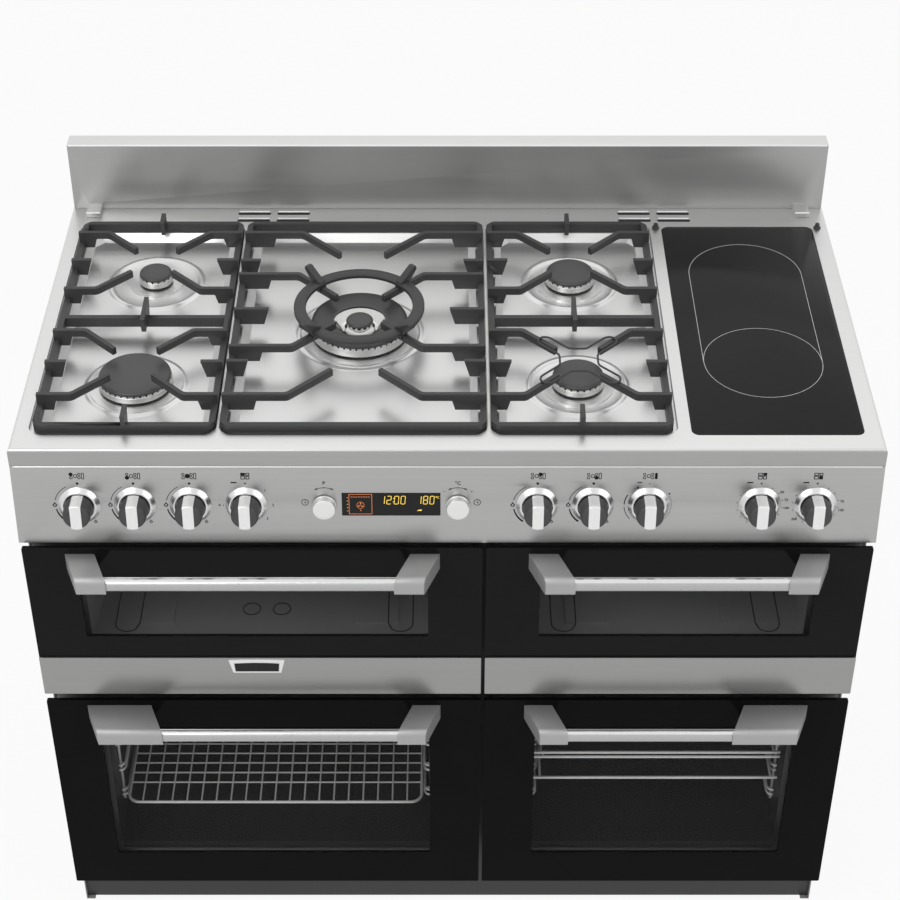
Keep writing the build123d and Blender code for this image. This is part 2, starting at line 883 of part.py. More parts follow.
for i, x in enumerate(gas_knob_x):
    big_knob(x, f"gas_knob_{i + 1}")
    tap_spindle(x, f"gas_spindle_{i + 1}")
big_knob(left_oven_knob_x, "left_oven_knob")
big_knob(plate_knob_x, "hotplate_knob")
big_knob(right_oven_knob_x[0], "upper_right_oven_knob")
big_knob(right_oven_knob_x[1], "lower_right_oven_knob")
encoder_knob(encoder_x[0], "programme_knob")
encoder_knob(encoder_x[1], "temperature_knob")


# Gas train: taps on a rail behind the panel, and the supply pipe to the rear
rail_left = -knob_edge_x - rail_overhang
rail_right = gas_knob_x[-1] + tap_size
supply_x = rail_left + tap_size / 2
supply_plane = panel_plane(supply_x, out=-thick_sheet - tap_depth - rail_size / 2)

with BuildPart() as gas_manifold:
    for x in gas_knob_x:
        with BuildSketch(panel_plane(x, out=-thick_sheet)):
            Rectangle(tap_size, tap_size)
        extrude(amount=-tap_depth)
        with BuildSketch(panel_plane(x, out=-thick_sheet)):
            RegularPolygon(spindle_radius + pin_clearance, small_sides)
        extrude(amount=-tap_bore_depth + thick_sheet, mode=Mode.SUBTRACT)
    with BuildSketch(panel_plane((rail_left + rail_right) / 2, out=-thick_sheet - tap_depth)):
        Rectangle(rail_right - rail_left, rail_size)
    extrude(amount=-rail_size)
    pipe_z = supply_plane.origin.Z
    pipe_start = supply_plane.origin.Y
    with BuildSketch(front_plane(pipe_start)):
        with Locations((supply_x, pipe_z)):
            RegularPolygon(supply_radius, small_sides)
    extrude(amount=-(casing_rear + inlet_reach + supply_radius - pipe_start))
    with BuildSketch(Plane.XY.offset(pipe_z)):
        with Locations((supply_x, casing_rear + inlet_reach)):
            RegularPolygon(inlet_nut, hex_sides)
    extrude(amount=-inlet_drop)
    with BuildSketch(Plane.XY.offset(pipe_z - inlet_drop)):
        with Locations((supply_x, casing_rear + inlet_reach)):
            Circle(inlet_bore)
    extrude(amount=inlet_thread, mode=Mode.SUBTRACT)

gas_manifold.part.label = "gas_manifold"
export_step(gas_manifold.part, "parts/gas_manifold.step")

with BuildPart() as rotary_switches:
    for x in switch_knob_x:
        with BuildSketch(panel_plane(x, out=-thick_sheet)):
            Rectangle(switch_size, switch_size)
        extrude(amount=-switch_depth)
        with BuildSketch(panel_plane(x, out=-thick_sheet)):
            RegularPolygon(spindle_radius, small_sides)
        extrude(amount=thick_sheet + knob_back - spindle_gap)
    for x in encoder_x:
        with BuildSketch(panel_plane(x, out=-thick_sheet)):
            Rectangle(encoder_body, encoder_body)
        extrude(amount=-board_depth)
        with BuildSketch(panel_plane(x, out=-thick_sheet)):
            RegularPolygon(spindle_radius, small_sides)
        extrude(amount=thick_sheet + encoder_back - spindle_gap)
    with BuildSketch(panel_plane(display_x, display_up, out=-display_thickness)):
        Rectangle(display_width + 2 * board_margin, display_height + 2 * board_margin)
    extrude(amount=-board_depth)

rotary_switches.part.label = "rotary_switches"
export_step(rotary_switches.part, "parts/rotary_switches.step")


# Ovens: enamelled boxes open at the front, behind the front frame's mouths
left_window = (left_door[0] + window_outer_margin, left_door[1] - window_inner_margin)
right_window = (right_door[0] + window_inner_margin, right_door[1] - window_outer_margin)
left_oven = (left_window[0] - oven_side_margin, left_window[1] + oven_side_margin)
right_oven = (right_window[0] - oven_side_margin, right_window[1] + oven_side_margin)
upper_oven = (upper_oven_floor, upper_oven_roof)
lower_oven = (lower_oven_floor, lower_oven_roof)
fan_x = (left_oven[0] + left_oven[1]) / 2
fan_z = (lower_oven_floor + lower_oven_roof) / 2


def oven_box(span, heights):
    """One enamelled oven box, open to the front."""
    middle_x = (span[0] + span[1]) / 2
    middle_z = (heights[0] + heights[1]) / 2
    width = span[1] - span[0]
    height = heights[1] - heights[0]
    with Locations((middle_x, frame_back + (oven_depth + oven_wall) / 2, middle_z)):
        Box(width + 2 * oven_wall, oven_depth + oven_wall, height + 2 * oven_wall)
    with Locations((middle_x, frame_back + oven_depth / 2, middle_z)):
        Box(width, oven_depth, height, mode=Mode.SUBTRACT)


def floor_embossing(span, floor):
    """Raised stiffening panels pressed into an oven floor."""
    middle_y = (frame_back + oven_back) / 2
    panel_length = oven_depth - 2 * emboss_margin
    inset = emboss_margin + emboss_width / 2
    with BuildSketch(Plane.XY.offset(floor)) as pressings:
        with Locations((span[0] + inset, middle_y), (span[1] - inset, middle_y)):
            Rectangle(emboss_width, panel_length)
    extrude(pressings.sketch, amount=emboss_height)


with BuildPart() as upper_oven_cavities:
    oven_box(left_oven, upper_oven)
    oven_box(right_oven, upper_oven)
    floor_embossing(left_oven, upper_oven_floor)
    floor_embossing(right_oven, upper_oven_floor)

upper_oven_cavities.part.label = "upper_oven_cavities"
export_step(upper_oven_cavities.part, "parts/upper_oven_cavities.step")

with BuildPart() as lower_oven_cavities:
    oven_box(left_oven, lower_oven)
    oven_box(right_oven, lower_oven)
    with BuildSketch(front_plane(oven_back)):
        with Locations((fan_x, fan_z)):
            RegularPolygon(fan_shaft_radius + fan_hole_gap, pin_sides)
    extrude(amount=-2 * oven_wall, mode=Mode.SUBTRACT)

lower_oven_cavities.part.label = "lower_oven_cavities"
export_step(lower_oven_cavities.part, "parts/lower_oven_cavities.step")


# Front frame: the plate that carries the oven mouths, the vent rail and the door hinges
def hinge_line(door_bottom):
    """The depth and height of a door's hinge pins."""
    return glass_front + hinge_from_glass, door_bottom + hinge_up


def hinge_places(door):
    """Where a door's two hinges are, from left to right."""
    return [door[0] + hinge_inset, door[1] - hinge_inset]


with BuildPart() as front_frame:
    frame_height = casing_top - base_z
    with Locations((0, frame_front + thick_sheet / 2, base_z + frame_height / 2)):
        Box(2 * frame_half, thick_sheet, frame_height)
    rest_height = hob_height - sheet - panel_top
    with Locations((0, frame_front + thick_sheet / 2, panel_top + rest_height / 2)):
        Box(2 * (frame_half - flange), thick_sheet, rest_height)
    for span in (left_oven, right_oven):
        for heights in (upper_oven, lower_oven):
            with Locations(((span[0] + span[1]) / 2, frame_front, (heights[0] + heights[1]) / 2)):
                Box(span[1] - span[0], 4 * thick_sheet, heights[1] - heights[0], mode=Mode.SUBTRACT)
    control_height = panel_height - 2 * flange
    with Locations((0, frame_front, (panel_top + panel_bottom) / 2)):
        Box(2 * (frame_half - flange), 4 * thick_sheet, control_height, mode=Mode.SUBTRACT)
    for door in (left_door, right_door):
        slot_pitch = (door[1] - door[0]) / vent_slots
        with BuildSketch(front_plane(frame_front)):
            with Locations(((door[0] + door[1]) / 2, upper_door_bottom - door_gap / 2)):
                with GridLocations(slot_pitch, 1, vent_slots, 1):
                    Rectangle(vent_slot_length, vent_slot_height)
        extrude(amount=-2 * thick_sheet, mode=Mode.SUBTRACT)
    for door_bottom in (upper_door_bottom, lower_door_bottom):
        hinge_y, hinge_z = hinge_line(door_bottom)
        for x in hinge_places(left_door) + hinge_places(right_door):
            with BuildSketch(Plane.YZ.offset(x - hinge_plate / 2)):
                with Locations((hinge_y, hinge_z)):
                    RegularPolygon(hinge_radius, small_sides)
                with Locations(((hinge_y + frame_front) / 2, hinge_z)):
                    Rectangle(frame_front - hinge_y, 2 * hinge_radius)
                with Locations((hinge_y, hinge_z)):
                    RegularPolygon(
                        pin_radius + pin_clearance,
                        small_sides,
                        major_radius=False,
                        mode=Mode.SUBTRACT,
                    )
            extrude(amount=hinge_plate)

front_frame.part.label = "front_frame"
export_step(front_frame.part, "parts/front_frame.step")

with BuildPart() as door_seals:
    for span in (left_oven, right_oven):
        for heights in (upper_oven, lower_oven):
            width = span[1] - span[0]
            height = heights[1] - heights[0]
            with BuildSketch(front_plane(frame_front)):
                with Locations(((span[0] + span[1]) / 2, (heights[0] + heights[1]) / 2)):
                    Rectangle(width + 2 * seal_width, height + 2 * seal_width)
                    Rectangle(width, height, mode=Mode.SUBTRACT)
            extrude(amount=seal_depth - seal_gap)

door_seals.part.label = "door_seals"
export_step(door_seals.part, "parts/door_seals.step")


# Doors: two panes of glass, a steel liner with hinge ears, a handle, and a trim strip on the upper pair
def door_glass(door, bottom, top, window, window_rise, window_fall, name):
    """The outer glass and the inner pane behind the liner's window."""
    with BuildPart() as glass:
        with BuildSketch(front_plane(glass_front)):
            with Locations(((door[0] + door[1]) / 2, (bottom + top) / 2)):
                Rectangle(door[1] - door[0], top - bottom)
        extrude(amount=-glass_thickness)
        pane_bottom = bottom + window_rise - pane_overlap
        pane_top = top - window_fall + pane_overlap
        with BuildSketch(front_plane(door_back - thick_sheet)):
            with Locations(((window[0] + window[1]) / 2, (pane_bottom + pane_top) / 2)):
                Rectangle(window[1] - window[0] + 2 * pane_overlap, pane_top - pane_bottom)
        extrude(amount=pane_thickness)
    glass.part.label = name
    export_step(glass.part, f"parts/{name}.step")


def door_liner(door, bottom, top, window, window_rise, window_fall, name):
    """A folded steel tray behind the glass, with a window and two hinge ears."""
    liner_low = bottom + liner_bottom
    liner_high = top - liner_top
    hinge_y, hinge_z = hinge_line(bottom)
    with BuildPart() as liner:
        with BuildSketch(front_plane(glass_back)):
            with Locations(((door[0] + door[1]) / 2, (liner_low + liner_high) / 2)):
                Rectangle(door[1] - door[0] - 2 * liner_side, liner_high - liner_low)
        extrude(amount=-liner_depth)
        offset(amount=-thick_sheet, openings=liner.faces().sort_by(Axis.Y)[0])
        with BuildSketch(front_plane(door_back)):
            with Locations(((window[0] + window[1]) / 2, (bottom + window_rise + top - window_fall) / 2)):
                Rectangle(window[1] - window[0], top - window_fall - bottom - window_rise)
        extrude(amount=2 * thick_sheet, mode=Mode.SUBTRACT)
        for x, inward in zip(hinge_places(door), (1, -1)):
            ear_start = x + inward * (hinge_plate / 2 + hinge_side_gap)
            with BuildSketch(Plane.YZ.offset(ear_start)):
                with Locations((hinge_y, hinge_z)):
                    RegularPolygon(hinge_radius, small_sides)
                with Locations((hinge_y, (hinge_z + liner_low) / 2)):
                    Rectangle(2 * hinge_radius, liner_low - hinge_z)
            extrude(amount=inward * hinge_plate)
            with BuildSketch(Plane.YZ.offset(ear_start)):
                with Locations((hinge_y, hinge_z)):
                    RegularPolygon(pin_radius, small_sides)
            extrude(amount=-inward * (hinge_plate + hinge_side_gap))
    liner.part.label = name
    export_step(liner.part, f"parts/{name}.step")


def door_handle(door, top, left_width, right_width, name):
    """A round bar between two slanted brackets, which may differ in width."""
    handle_top = top - handle_drop
    left_x = door[0] + handle_margin
    right_x = door[1] - handle_margin
    handle_front = glass_front - handle_reach
    with BuildPart() as handle:
        with BuildSketch(Plane.XY.offset(handle_top - bracket_height)):
            with BuildLine():
                Polyline(
                    (left_x, glass_front),
                    (left_x + left_width, glass_front),
                    (left_x + left_width + bracket_slant, handle_front),
                    (left_x + bracket_slant, handle_front),
                    close=True,
                )
            make_face()
            with BuildLine():
                Polyline(
                    (right_x, glass_front),
                    (right_x - right_width, glass_front),
                    (right_x - right_width - bracket_slant, handle_front),
                    (right_x - bracket_slant, handle_front),
                    close=True,
                )
            make_face()
        extrude(amount=bracket_height)
        front_edges = handle.edges().filter_by(Axis.X).group_by(Axis.Y)[0]
        fillet(front_edges.group_by(Axis.Z)[-1], radius=bracket_round)
        low_edges = handle.edges().filter_by(Axis.X).group_by(Axis.Y)[0].group_by(Axis.Z)[0]
        fillet(low_edges, radius=bracket_under_round)
        bar_left = left_x + left_width / 2 + bracket_slant
        bar_right = right_x - right_width / 2 - bracket_slant
        with BuildSketch(Plane.YZ.offset(bar_left)):
            with Locations((glass_front - handle_bar_reach, handle_top - handle_bar_drop)):
                RegularPolygon(handle_bar_radius, bar_sides)
        extrude(amount=bar_right - bar_left)
    handle.part.label = name
    export_step(handle.part, f"parts/{name}.step")


def door_strip(door, bottom, name):
    """The brushed strip across the foot of an upper door, on the face of its glass."""
    with BuildPart() as strip:
        with BuildSketch(front_plane(glass_front)):
            with Locations(((door[0] + door[1]) / 2, bottom + strip_height / 2)):
                Rectangle(door[1] - door[0], strip_height)
        extrude(amount=strip_proud)
    strip.part.label = name
    export_step(strip.part, f"parts/{name}.step")


def upper_door(name, door, window):
    """The pieces of an upper door, with its strip."""
    bottom = upper_door_bottom
    top = upper_door_top
    door_glass(door, bottom, top, window, upper_window_rise, window_drop, f"{name}_glass")
    door_liner(door, bottom, top, window, upper_window_rise, window_drop, f"{name}_liner")
    door_handle(door, top, bracket_width, bracket_width, f"{name}_handle")
    door_strip(door, bottom, f"{name}_strip")


def lower_door(name, door, window, left_width, right_width):
    """The pieces of a lower door."""
    bottom = lower_door_bottom
    top = lower_door_top
    door_glass(door, bottom, top, window, lower_window_rise, lower_window_drop, f"{name}_glass")
    door_liner(door, bottom, top, window, lower_window_rise, lower_window_drop, f"{name}_liner")
    door_handle(door, top, left_width, right_width, f"{name}_handle")


upper_door("grill_door", left_door, left_window)
upper_door("small_oven_door", right_door, right_window)
lower_door("main_oven_door", left_door, left_window, wide_bracket_width, bracket_width)
lower_door("tall_oven_door", right_door, right_window, bracket_width, wide_bracket_width)


# Casing: side panels, back panel, base tray with its plinth, adjustable feet
def side_panel(side, name):
    """A flat side sheet with returns at its rear and foot; side is +1 for the right."""
    depth = casing_rear - frame_front
    height = casing_top - plinth_foot_gap
    middle_y = frame_front + depth / 2
    middle_z = plinth_foot_gap + height / 2
    flange_x = side * (body_half - flange / 2)
    with BuildPart() as panel:
        with Locations((side * (body_half - sheet / 2), middle_y, middle_z)):
            Box(sheet, depth, height)
        with Locations((flange_x, casing_rear - sheet / 2, middle_z)):
            Box(flange, sheet, height)
        with Locations((flange_x, middle_y, plinth_foot_gap + sheet / 2)):
            Box(flange, depth, sheet)
    panel.part.label = name
    export_step(panel.part, f"parts/{name}.step")


side_panel(-1, "side_panel_left")
side_panel(1, "side_panel_right")

with BuildPart() as back_panel:
    back_height = casing_top - base_z
    with Locations((0, casing_rear + sheet / 2, base_z + back_height / 2)):
        Box(2 * body_half, sheet, back_height)
    with BuildSketch(front_plane(casing_rear)):
        with Locations((-body_half / 2, upper_door_top), (body_half / 2, upper_door_top)):
            with GridLocations(1, louvre_pitch, 1, louvre_rows):
                Rectangle(louvre_length, louvre_width)
        with Locations((supply_x, supply_plane.origin.Z)):
            RegularPolygon(supply_radius + supply_hole_gap, small_sides)
    extrude(amount=-2 * sheet, mode=Mode.SUBTRACT)
    with Locations((terminal_x, casing_rear + sheet + terminal_depth / 2, terminal_z)):
        Box(terminal_width, terminal_depth, terminal_height)
    with BuildSketch(Plane.XY.offset(terminal_z - terminal_height / 2)):
        with Locations((terminal_x, casing_rear + sheet + terminal_depth / 2)):
            Circle(gland_bore)
    extrude(amount=gland_depth, mode=Mode.SUBTRACT)

back_panel.part.label = "back_panel"
export_step(back_panel.part, "parts/back_panel.step")

with BuildPart() as base_tray:
    with Locations((0, (tray_front + casing_rear - sheet) / 2, base_z - sheet / 2)):
        Box(2 * frame_half, casing_rear - sheet - tray_front, sheet)
    plinth_low = plinth_foot_gap + sheet
    with Locations((0, tray_front + sheet / 2, (base_z + plinth_low) / 2)):
        Box(2 * frame_half, sheet, base_z - plinth_low)

base_tray.part.label = "base_tray"
export_step(base_tray.part, "parts/base_tray.step")

tray_middle_y = (tray_front + casing_rear) / 2
foot_spread_y = casing_rear - tray_front - 2 * foot_inset
with BuildPart() as feet:
    with BuildSketch(Plane.XY):
        with Locations((0, tray_middle_y)):
            with GridLocations(2 * (body_half - foot_inset), foot_spread_y, 2, 2):
                RegularPolygon(foot_pad_radius, small_sides)
    extrude(amount=foot_pad_height)
    with BuildSketch(Plane.XY.offset(foot_pad_height)):
        with Locations((0, tray_middle_y)):
            with GridLocations(2 * (body_half - foot_inset), foot_spread_y, 2, 2):
                RegularPolygon(foot_stem_radius, small_sides)
    extrude(amount=base_z - sheet - foot_pad_height)

feet.part.label = "feet"
export_step(feet.part, "parts/feet.step")


# Oven furniture: side runners, wire racks, heating elements, fan and its motor
def runner(wall_x, side):
    """A plate with ledges on an oven's side wall; side is +1 when it points to +X."""
    plate_height = (runner_levels - 1) * rack_pitch + 2 * runner_inset
    plate_z = rack_level + (runner_levels - 1) * rack_pitch / 2
    middle_y = (frame_back + oven_back) / 2
    plate_length = oven_depth - 2 * runner_inset
    with Locations((wall_x + side * runner_plate / 2, middle_y, plate_z)):
        Box(runner_plate, plate_length, plate_height)
    for i in range(runner_levels):
        ledge_middle = rack_level + i * rack_pitch - runner_ledge / 2
        with Locations((wall_x + side * runner_out / 2, middle_y, ledge_middle)):
            Box(runner_out, plate_length, runner_ledge)


with BuildPart() as rack_runners:
    for span in (left_oven, right_oven):
        runner(span[0], 1)
        runner(span[1], -1)

rack_runners.part.label = "rack_runners"
export_step(rack_runners.part, "parts/rack_runners.step")


def rack(span, level):
    """A wire shelf: a rim, cross bars and a row of long wires lying on them."""
    middle_x = (span[0] + span[1]) / 2
    middle_y = (frame_back + rack_front_gap + oven_back - rack_rear_gap) / 2
    width = span[1] - span[0] - 2 * rack_side_gap
    length = oven_depth - rack_front_gap - rack_rear_gap
    rack_z = rack_level + level * rack_pitch
    with BuildSketch(Plane.XY.offset(rack_z)) as rim:
        with Locations((middle_x, middle_y)):
            Rectangle(width, length)
            Rectangle(width - 2 * rack_rim, length - 2 * rack_rim, mode=Mode.SUBTRACT)
            with GridLocations(1, length / (rack_bars + 1), 1, rack_bars):
                Rectangle(width - rack_rim, rack_rim)
    extrude(rim.sketch, amount=rack_rim)
    wire_pitch = (width - rack_rim) / (rack_wires + 1)
    with Locations((middle_x, middle_y, rack_z + rack_rim + rack_wire_gap + rack_wire / 2)):
        with GridLocations(wire_pitch, 1, rack_wires, 1):
            Box(rack_wire, length, rack_wire)


with BuildPart() as oven_racks:
    rack(left_oven, 0)
    rack(right_oven, 1)
    rack(right_oven, 2)

oven_racks.part.label = "oven_racks"
export_step(oven_racks.part, "parts/oven_racks.step")


def roof_element(span):
    """A bent tube element under an oven roof, with both ends at the rear wall."""
    z = upper_oven_roof - element_drop
    left = span[0] + element_margin
    right = span[1] - element_margin
    front = frame_back + element_margin
    inner = (right - left) / 3
    fold_y = oven_back - element_margin
    points = [
        (left + inner / 2, oven_back, z),
        (left + inner / 2, fold_y, z),
        (left, fold_y, z),
        (left, front, z),
        (left + inner, front, z),
        (left + inner, fold_y - element_margin, z),
        (right - inner, fold_y - element_margin, z),
        (right - inner, front, z),
        (right, front, z),
        (right, fold_y, z),
        (right - inner / 2, fold_y, z),
        (right - inner / 2, oven_back, z),
    ]
    with BuildLine() as path:
        Polyline(*points)
    with BuildSketch(Plane(origin=path.line @ 0, z_dir=path.line % 0)) as section:
        RegularPolygon(element_radius, hex_sides)
    sweep(section.sketch, path=path.line, transition=Transition.RIGHT)


with BuildPart() as heating_elements:
    roof_element(left_oven)
    roof_element(right_oven)
    for zone_y in (front_zone_y, rear_zone_y):
        with BuildSketch(Plane.XY.offset(hob_height - ceramic_thickness)):
            with Locations((zone_x, zone_y)):
                RegularPolygon(radiant_radius, small_sides)
        extrude(amount=-radiant_height)
        with BuildSketch(Plane.XY.offset(hob_height - ceramic_thickness)):
            with Locations((zone_x, zone_y)):
                RegularPolygon(radiant_radius - radiant_wall, small_sides)
        extrude(amount=-radiant_wall, mode=Mode.SUBTRACT)
    with BuildSketch(front_plane(oven_back - ring_element_depth)):
        with Locations((fan_x, fan_z)):
            RegularPolygon(ring_element_radius + element_radius, pin_sides)
            RegularPolygon(ring_element_radius - element_radius, pin_sides, mode=Mode.SUBTRACT)
    extrude(amount=2 * element_radius)
    with BuildSketch(front_plane(oven_back)):
        with Locations((fan_x, fan_z + ring_element_radius)):
            with GridLocations(3 * element_radius, 1, 2, 1):
                Rectangle(element_radius, element_radius)
    extrude(amount=ring_element_depth)

heating_elements.part.label = "heating_elements"
export_step(heating_elements.part, "parts/heating_elements.step")

fan_plane_y = oven_back - fan_wall_gap
shaft_length = fan_blade_height + fan_wall_gap + oven_wall + motor_gap + shaft_reach

with BuildPart() as oven_fan:
    with BuildSketch(front_plane(fan_plane_y)):
        with Locations((fan_x, fan_z)):
            RegularPolygon(fan_radius, fan_sides)
    extrude(amount=fan_disc)
    with BuildSketch(front_plane(fan_plane_y - fan_disc)):
        with Locations((fan_x, fan_z)):
            with PolarLocations(fan_radius - fan_blade_length / 2, fan_blades):
                Rectangle(fan_blade_length, fan_disc)
    extrude(amount=fan_blade_height)
    with BuildSketch(front_plane(fan_plane_y - fan_blade_height)):
        with Locations((fan_x, fan_z)):
            RegularPolygon(fan_shaft_radius, pin_sides)
    extrude(amount=-shaft_length)

oven_fan.part.label = "oven_fan"
export_step(oven_fan.part, "parts/oven_fan.step")

with BuildPart() as fan_motor:
    with BuildSketch(front_plane(oven_back + oven_wall)):
        with Locations((fan_x, fan_z)):
            RegularPolygon(motor_radius, fan_sides)
            RegularPolygon(
                fan_shaft_radius + pin_clearance,
                pin_sides,
                major_radius=False,
                mode=Mode.SUBTRACT,
            )
    extrude(amount=-motor_length)

fan_motor.part.label = "fan_motor"
export_step(fan_motor.part, "parts/fan_motor.step")
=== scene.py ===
import json
import math

import bmesh
import bpy
from mathutils import Matrix, Vector


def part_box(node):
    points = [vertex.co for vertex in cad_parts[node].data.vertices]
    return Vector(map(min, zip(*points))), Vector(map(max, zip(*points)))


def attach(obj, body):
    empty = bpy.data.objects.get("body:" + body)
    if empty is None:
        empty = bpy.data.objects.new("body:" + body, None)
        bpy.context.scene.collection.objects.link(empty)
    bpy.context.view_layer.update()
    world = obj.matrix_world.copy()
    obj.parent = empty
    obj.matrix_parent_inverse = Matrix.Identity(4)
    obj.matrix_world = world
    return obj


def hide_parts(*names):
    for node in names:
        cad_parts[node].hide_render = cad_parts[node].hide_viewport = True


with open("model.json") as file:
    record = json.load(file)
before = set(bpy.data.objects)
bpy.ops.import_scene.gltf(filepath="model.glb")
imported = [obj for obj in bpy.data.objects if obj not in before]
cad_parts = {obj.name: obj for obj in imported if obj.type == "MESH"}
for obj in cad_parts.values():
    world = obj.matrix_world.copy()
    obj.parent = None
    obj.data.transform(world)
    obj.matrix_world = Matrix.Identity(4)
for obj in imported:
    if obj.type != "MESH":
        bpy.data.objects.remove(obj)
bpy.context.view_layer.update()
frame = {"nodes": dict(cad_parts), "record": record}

# Sizes shared with the solids, in millimetres
MM = 0.001
HOB_FRONT = -267.5
HOB_REAR = 339.5
HOB_TOP = 900.0
PANEL_TOP = 874.0
PANEL_BOTTOM = 760.0
PANEL_LEAN = 14.0
LEAN = math.atan2(PANEL_LEAN, PANEL_TOP - PANEL_BOTTOM)
WELL_FLOOR = 882.0
HEAD_BOTTOM = 887.5
CAP_BOTTOM = 898.4
RING_LIFT = 2.5
GLASS_FRONT = -287.5
GLASS_BACK = -282.5

# Burners: place across, place in depth and radius
ROUND_BURNERS = {
    "small": (-409.0, 136.2, 22.3),
    "large": (-409.0, -107.2, 47.2),
    "rear_medium": (171.0, 136.2, 33.2),
    "front_medium": (171.0, -107.2, 33.2),
}
RING = (-119.0, 14.5, 65.0)

body_of_node = {}
for body_name, members in frame["record"]["behaviour"]["bodies"].items():
    for member in members:
        body_of_node[member] = body_name


# Materials

def start_material(name):
    material = bpy.data.materials.new(name)
    material.use_nodes = True
    tree = material.node_tree
    return material, tree, tree.nodes["Principled BSDF"]


def add_node(tree, kind, **values):
    """A node with numbers on its sockets; an underscore in a name stands for a space."""
    node = tree.nodes.new(kind)
    for name, value in values.items():
        node.inputs[name.replace("_", " ")].default_value = value
    return node


def feed(node, socket, value):
    """Links a value to a socket of a node."""
    node.id_data.links.new(value, node.inputs[socket])


def object_place(tree):
    """The object's own coordinates."""
    return add_node(tree, "ShaderNodeTexCoord").outputs["Object"]


def object_noise(tree, stretch, detail=4.0):
    """A noise over the object's own coordinates, stretched by a scale along each axis, per metre."""
    mapping = add_node(tree, "ShaderNodeMapping", Scale=stretch)
    noise = add_node(tree, "ShaderNodeTexNoise", Scale=1.0, Detail=detail, Roughness=0.55)
    feed(mapping, "Vector", object_place(tree))
    feed(noise, "Vector", mapping.outputs["Vector"])
    return noise.outputs["Fac"]


def object_cells(tree, scale):
    """A cell pattern over the object's own coordinates."""
    cells = add_node(tree, "ShaderNodeTexVoronoi", Scale=scale)
    feed(cells, "Vector", object_place(tree))
    return cells.outputs


def spread(tree, value, low, high, start=0.3, stop=0.7):
    """A value spread over a range."""
    node = add_node(tree, "ShaderNodeMapRange", From_Min=start, From_Max=stop, To_Min=low, To_Max=high)
    feed(node, "Value", value)
    return node.outputs["Result"]


def two_tones(tree, value, low, high, start=0.3, stop=0.7):
    """A colour between two tones."""
    ramp = add_node(tree, "ShaderNodeValToRGB")
    first, last = ramp.color_ramp.elements
    first.position = start
    first.color = (*low, 1.0)
    last.position = stop
    last.color = (*high, 1.0)
    feed(ramp, "Fac", value)
    return ramp.outputs["Color"]


def bump(tree, shader, value, strength, distance):
    node = add_node(tree, "ShaderNodeBump", Strength=strength, Distance=distance)
    feed(node, "Height", value)
    feed(shader, "Normal", node.outputs["Normal"])


def shade(colour, factor):
    return tuple(min(1.0, channel * factor) for channel in colour)


def grey(level):
    return (level, level, level)


def surface(
    name, colour, roughness, stretch, metallic, tone, rough_range, grain, depth, gloss=0.5
):
    """A finish with a grain in its colour, gloss and relief."""
    material, tree, shader = start_material(name)
    value = object_noise(tree, stretch)
    tones = two_tones(tree, value, shade(colour, 1 - tone), shade(colour, 1 + tone))
    feed(shader, "Base Color", tones)
    feed(shader, "Roughness", spread(tree, value, roughness - rough_range, roughness + rough_range))
    shader.inputs["Metallic"].default_value = metallic
    shader.inputs["Specular IOR Level"].default_value = gloss
    bump(tree, shader, value, grain, depth)
    return material


ALONG_X = (4.0, 900.0, 900.0)
ALONG_Z = (900.0, 900.0, 4.0)
HOB_GRAIN = (5.0, 500.0, 500.0)
FINE = (700.0, 700.0, 700.0)
COARSE = (160.0, 160.0, 160.0)
CLOUDY = (14.0, 14.0, 14.0)


def hob_sheet(name, colour, roughness, metallic):
    return surface(name, colour, roughness, HOB_GRAIN, metallic, 0.02, 0.03, 0.02, 0.00002)


def brushed(name, colour, roughness, grain=0.04, metallic=1.0):
    return surface(name, colour, roughness, ALONG_X, metallic, 0.03, 0.03, grain, 0.00002)


def polished(name, level, roughness, rough_range=0.03, grain=0.002):
    return surface(name, grey(level), roughness, COARSE, 1.0, 0.02, rough_range, grain, 0.00001)


def black_glass(name, colour, roughness, rough_range, grain, gloss):
    return surface(name, colour, roughness, CLOUDY, 0.0, 0.10, rough_range, grain, 0.00002, gloss)


def cast(name, colour, roughness, tone, rough_range, grain, depth, metallic=0.0, gloss=0.5):
    """A finish with a fine, even grain."""
    return surface(name, colour, roughness, FINE, metallic, tone, rough_range, grain, depth, gloss)


hob_steel = hob_sheet("hob_steel", (0.67, 0.67, 0.665), 0.34, 1.0)
# A lighter, less metallic copy of the hob steel: painted highlight, used on the wells' side walls and on
# the vent louvres
painted_highlight_steel = hob_sheet("painted_highlight_steel", (0.82, 0.82, 0.815), 0.50, 0.4)
panel_steel = brushed("panel_steel", (0.435, 0.435, 0.43), 0.36)
# A darker copy of the hob steel for the hob's front faces: painted shade
apron_shaded_steel = brushed("apron_shaded_steel", (0.40, 0.40, 0.395), 0.36)
# A near-white, less metallic steel for the folded edges: painted highlight
fold_highlight_steel = brushed("fold_highlight_steel", grey(0.90), 0.34, 0.03, 0.3)
# A darker copy of the steel for the splashback's front face: painted shade
splash_shaded_steel = brushed("splash_shaded_steel", (0.40, 0.40, 0.395), 0.44, 0.03)
strip_steel = brushed("strip_steel", (0.33, 0.33, 0.325), 0.34)
chrome = polished("chrome", 0.74, 0.14)
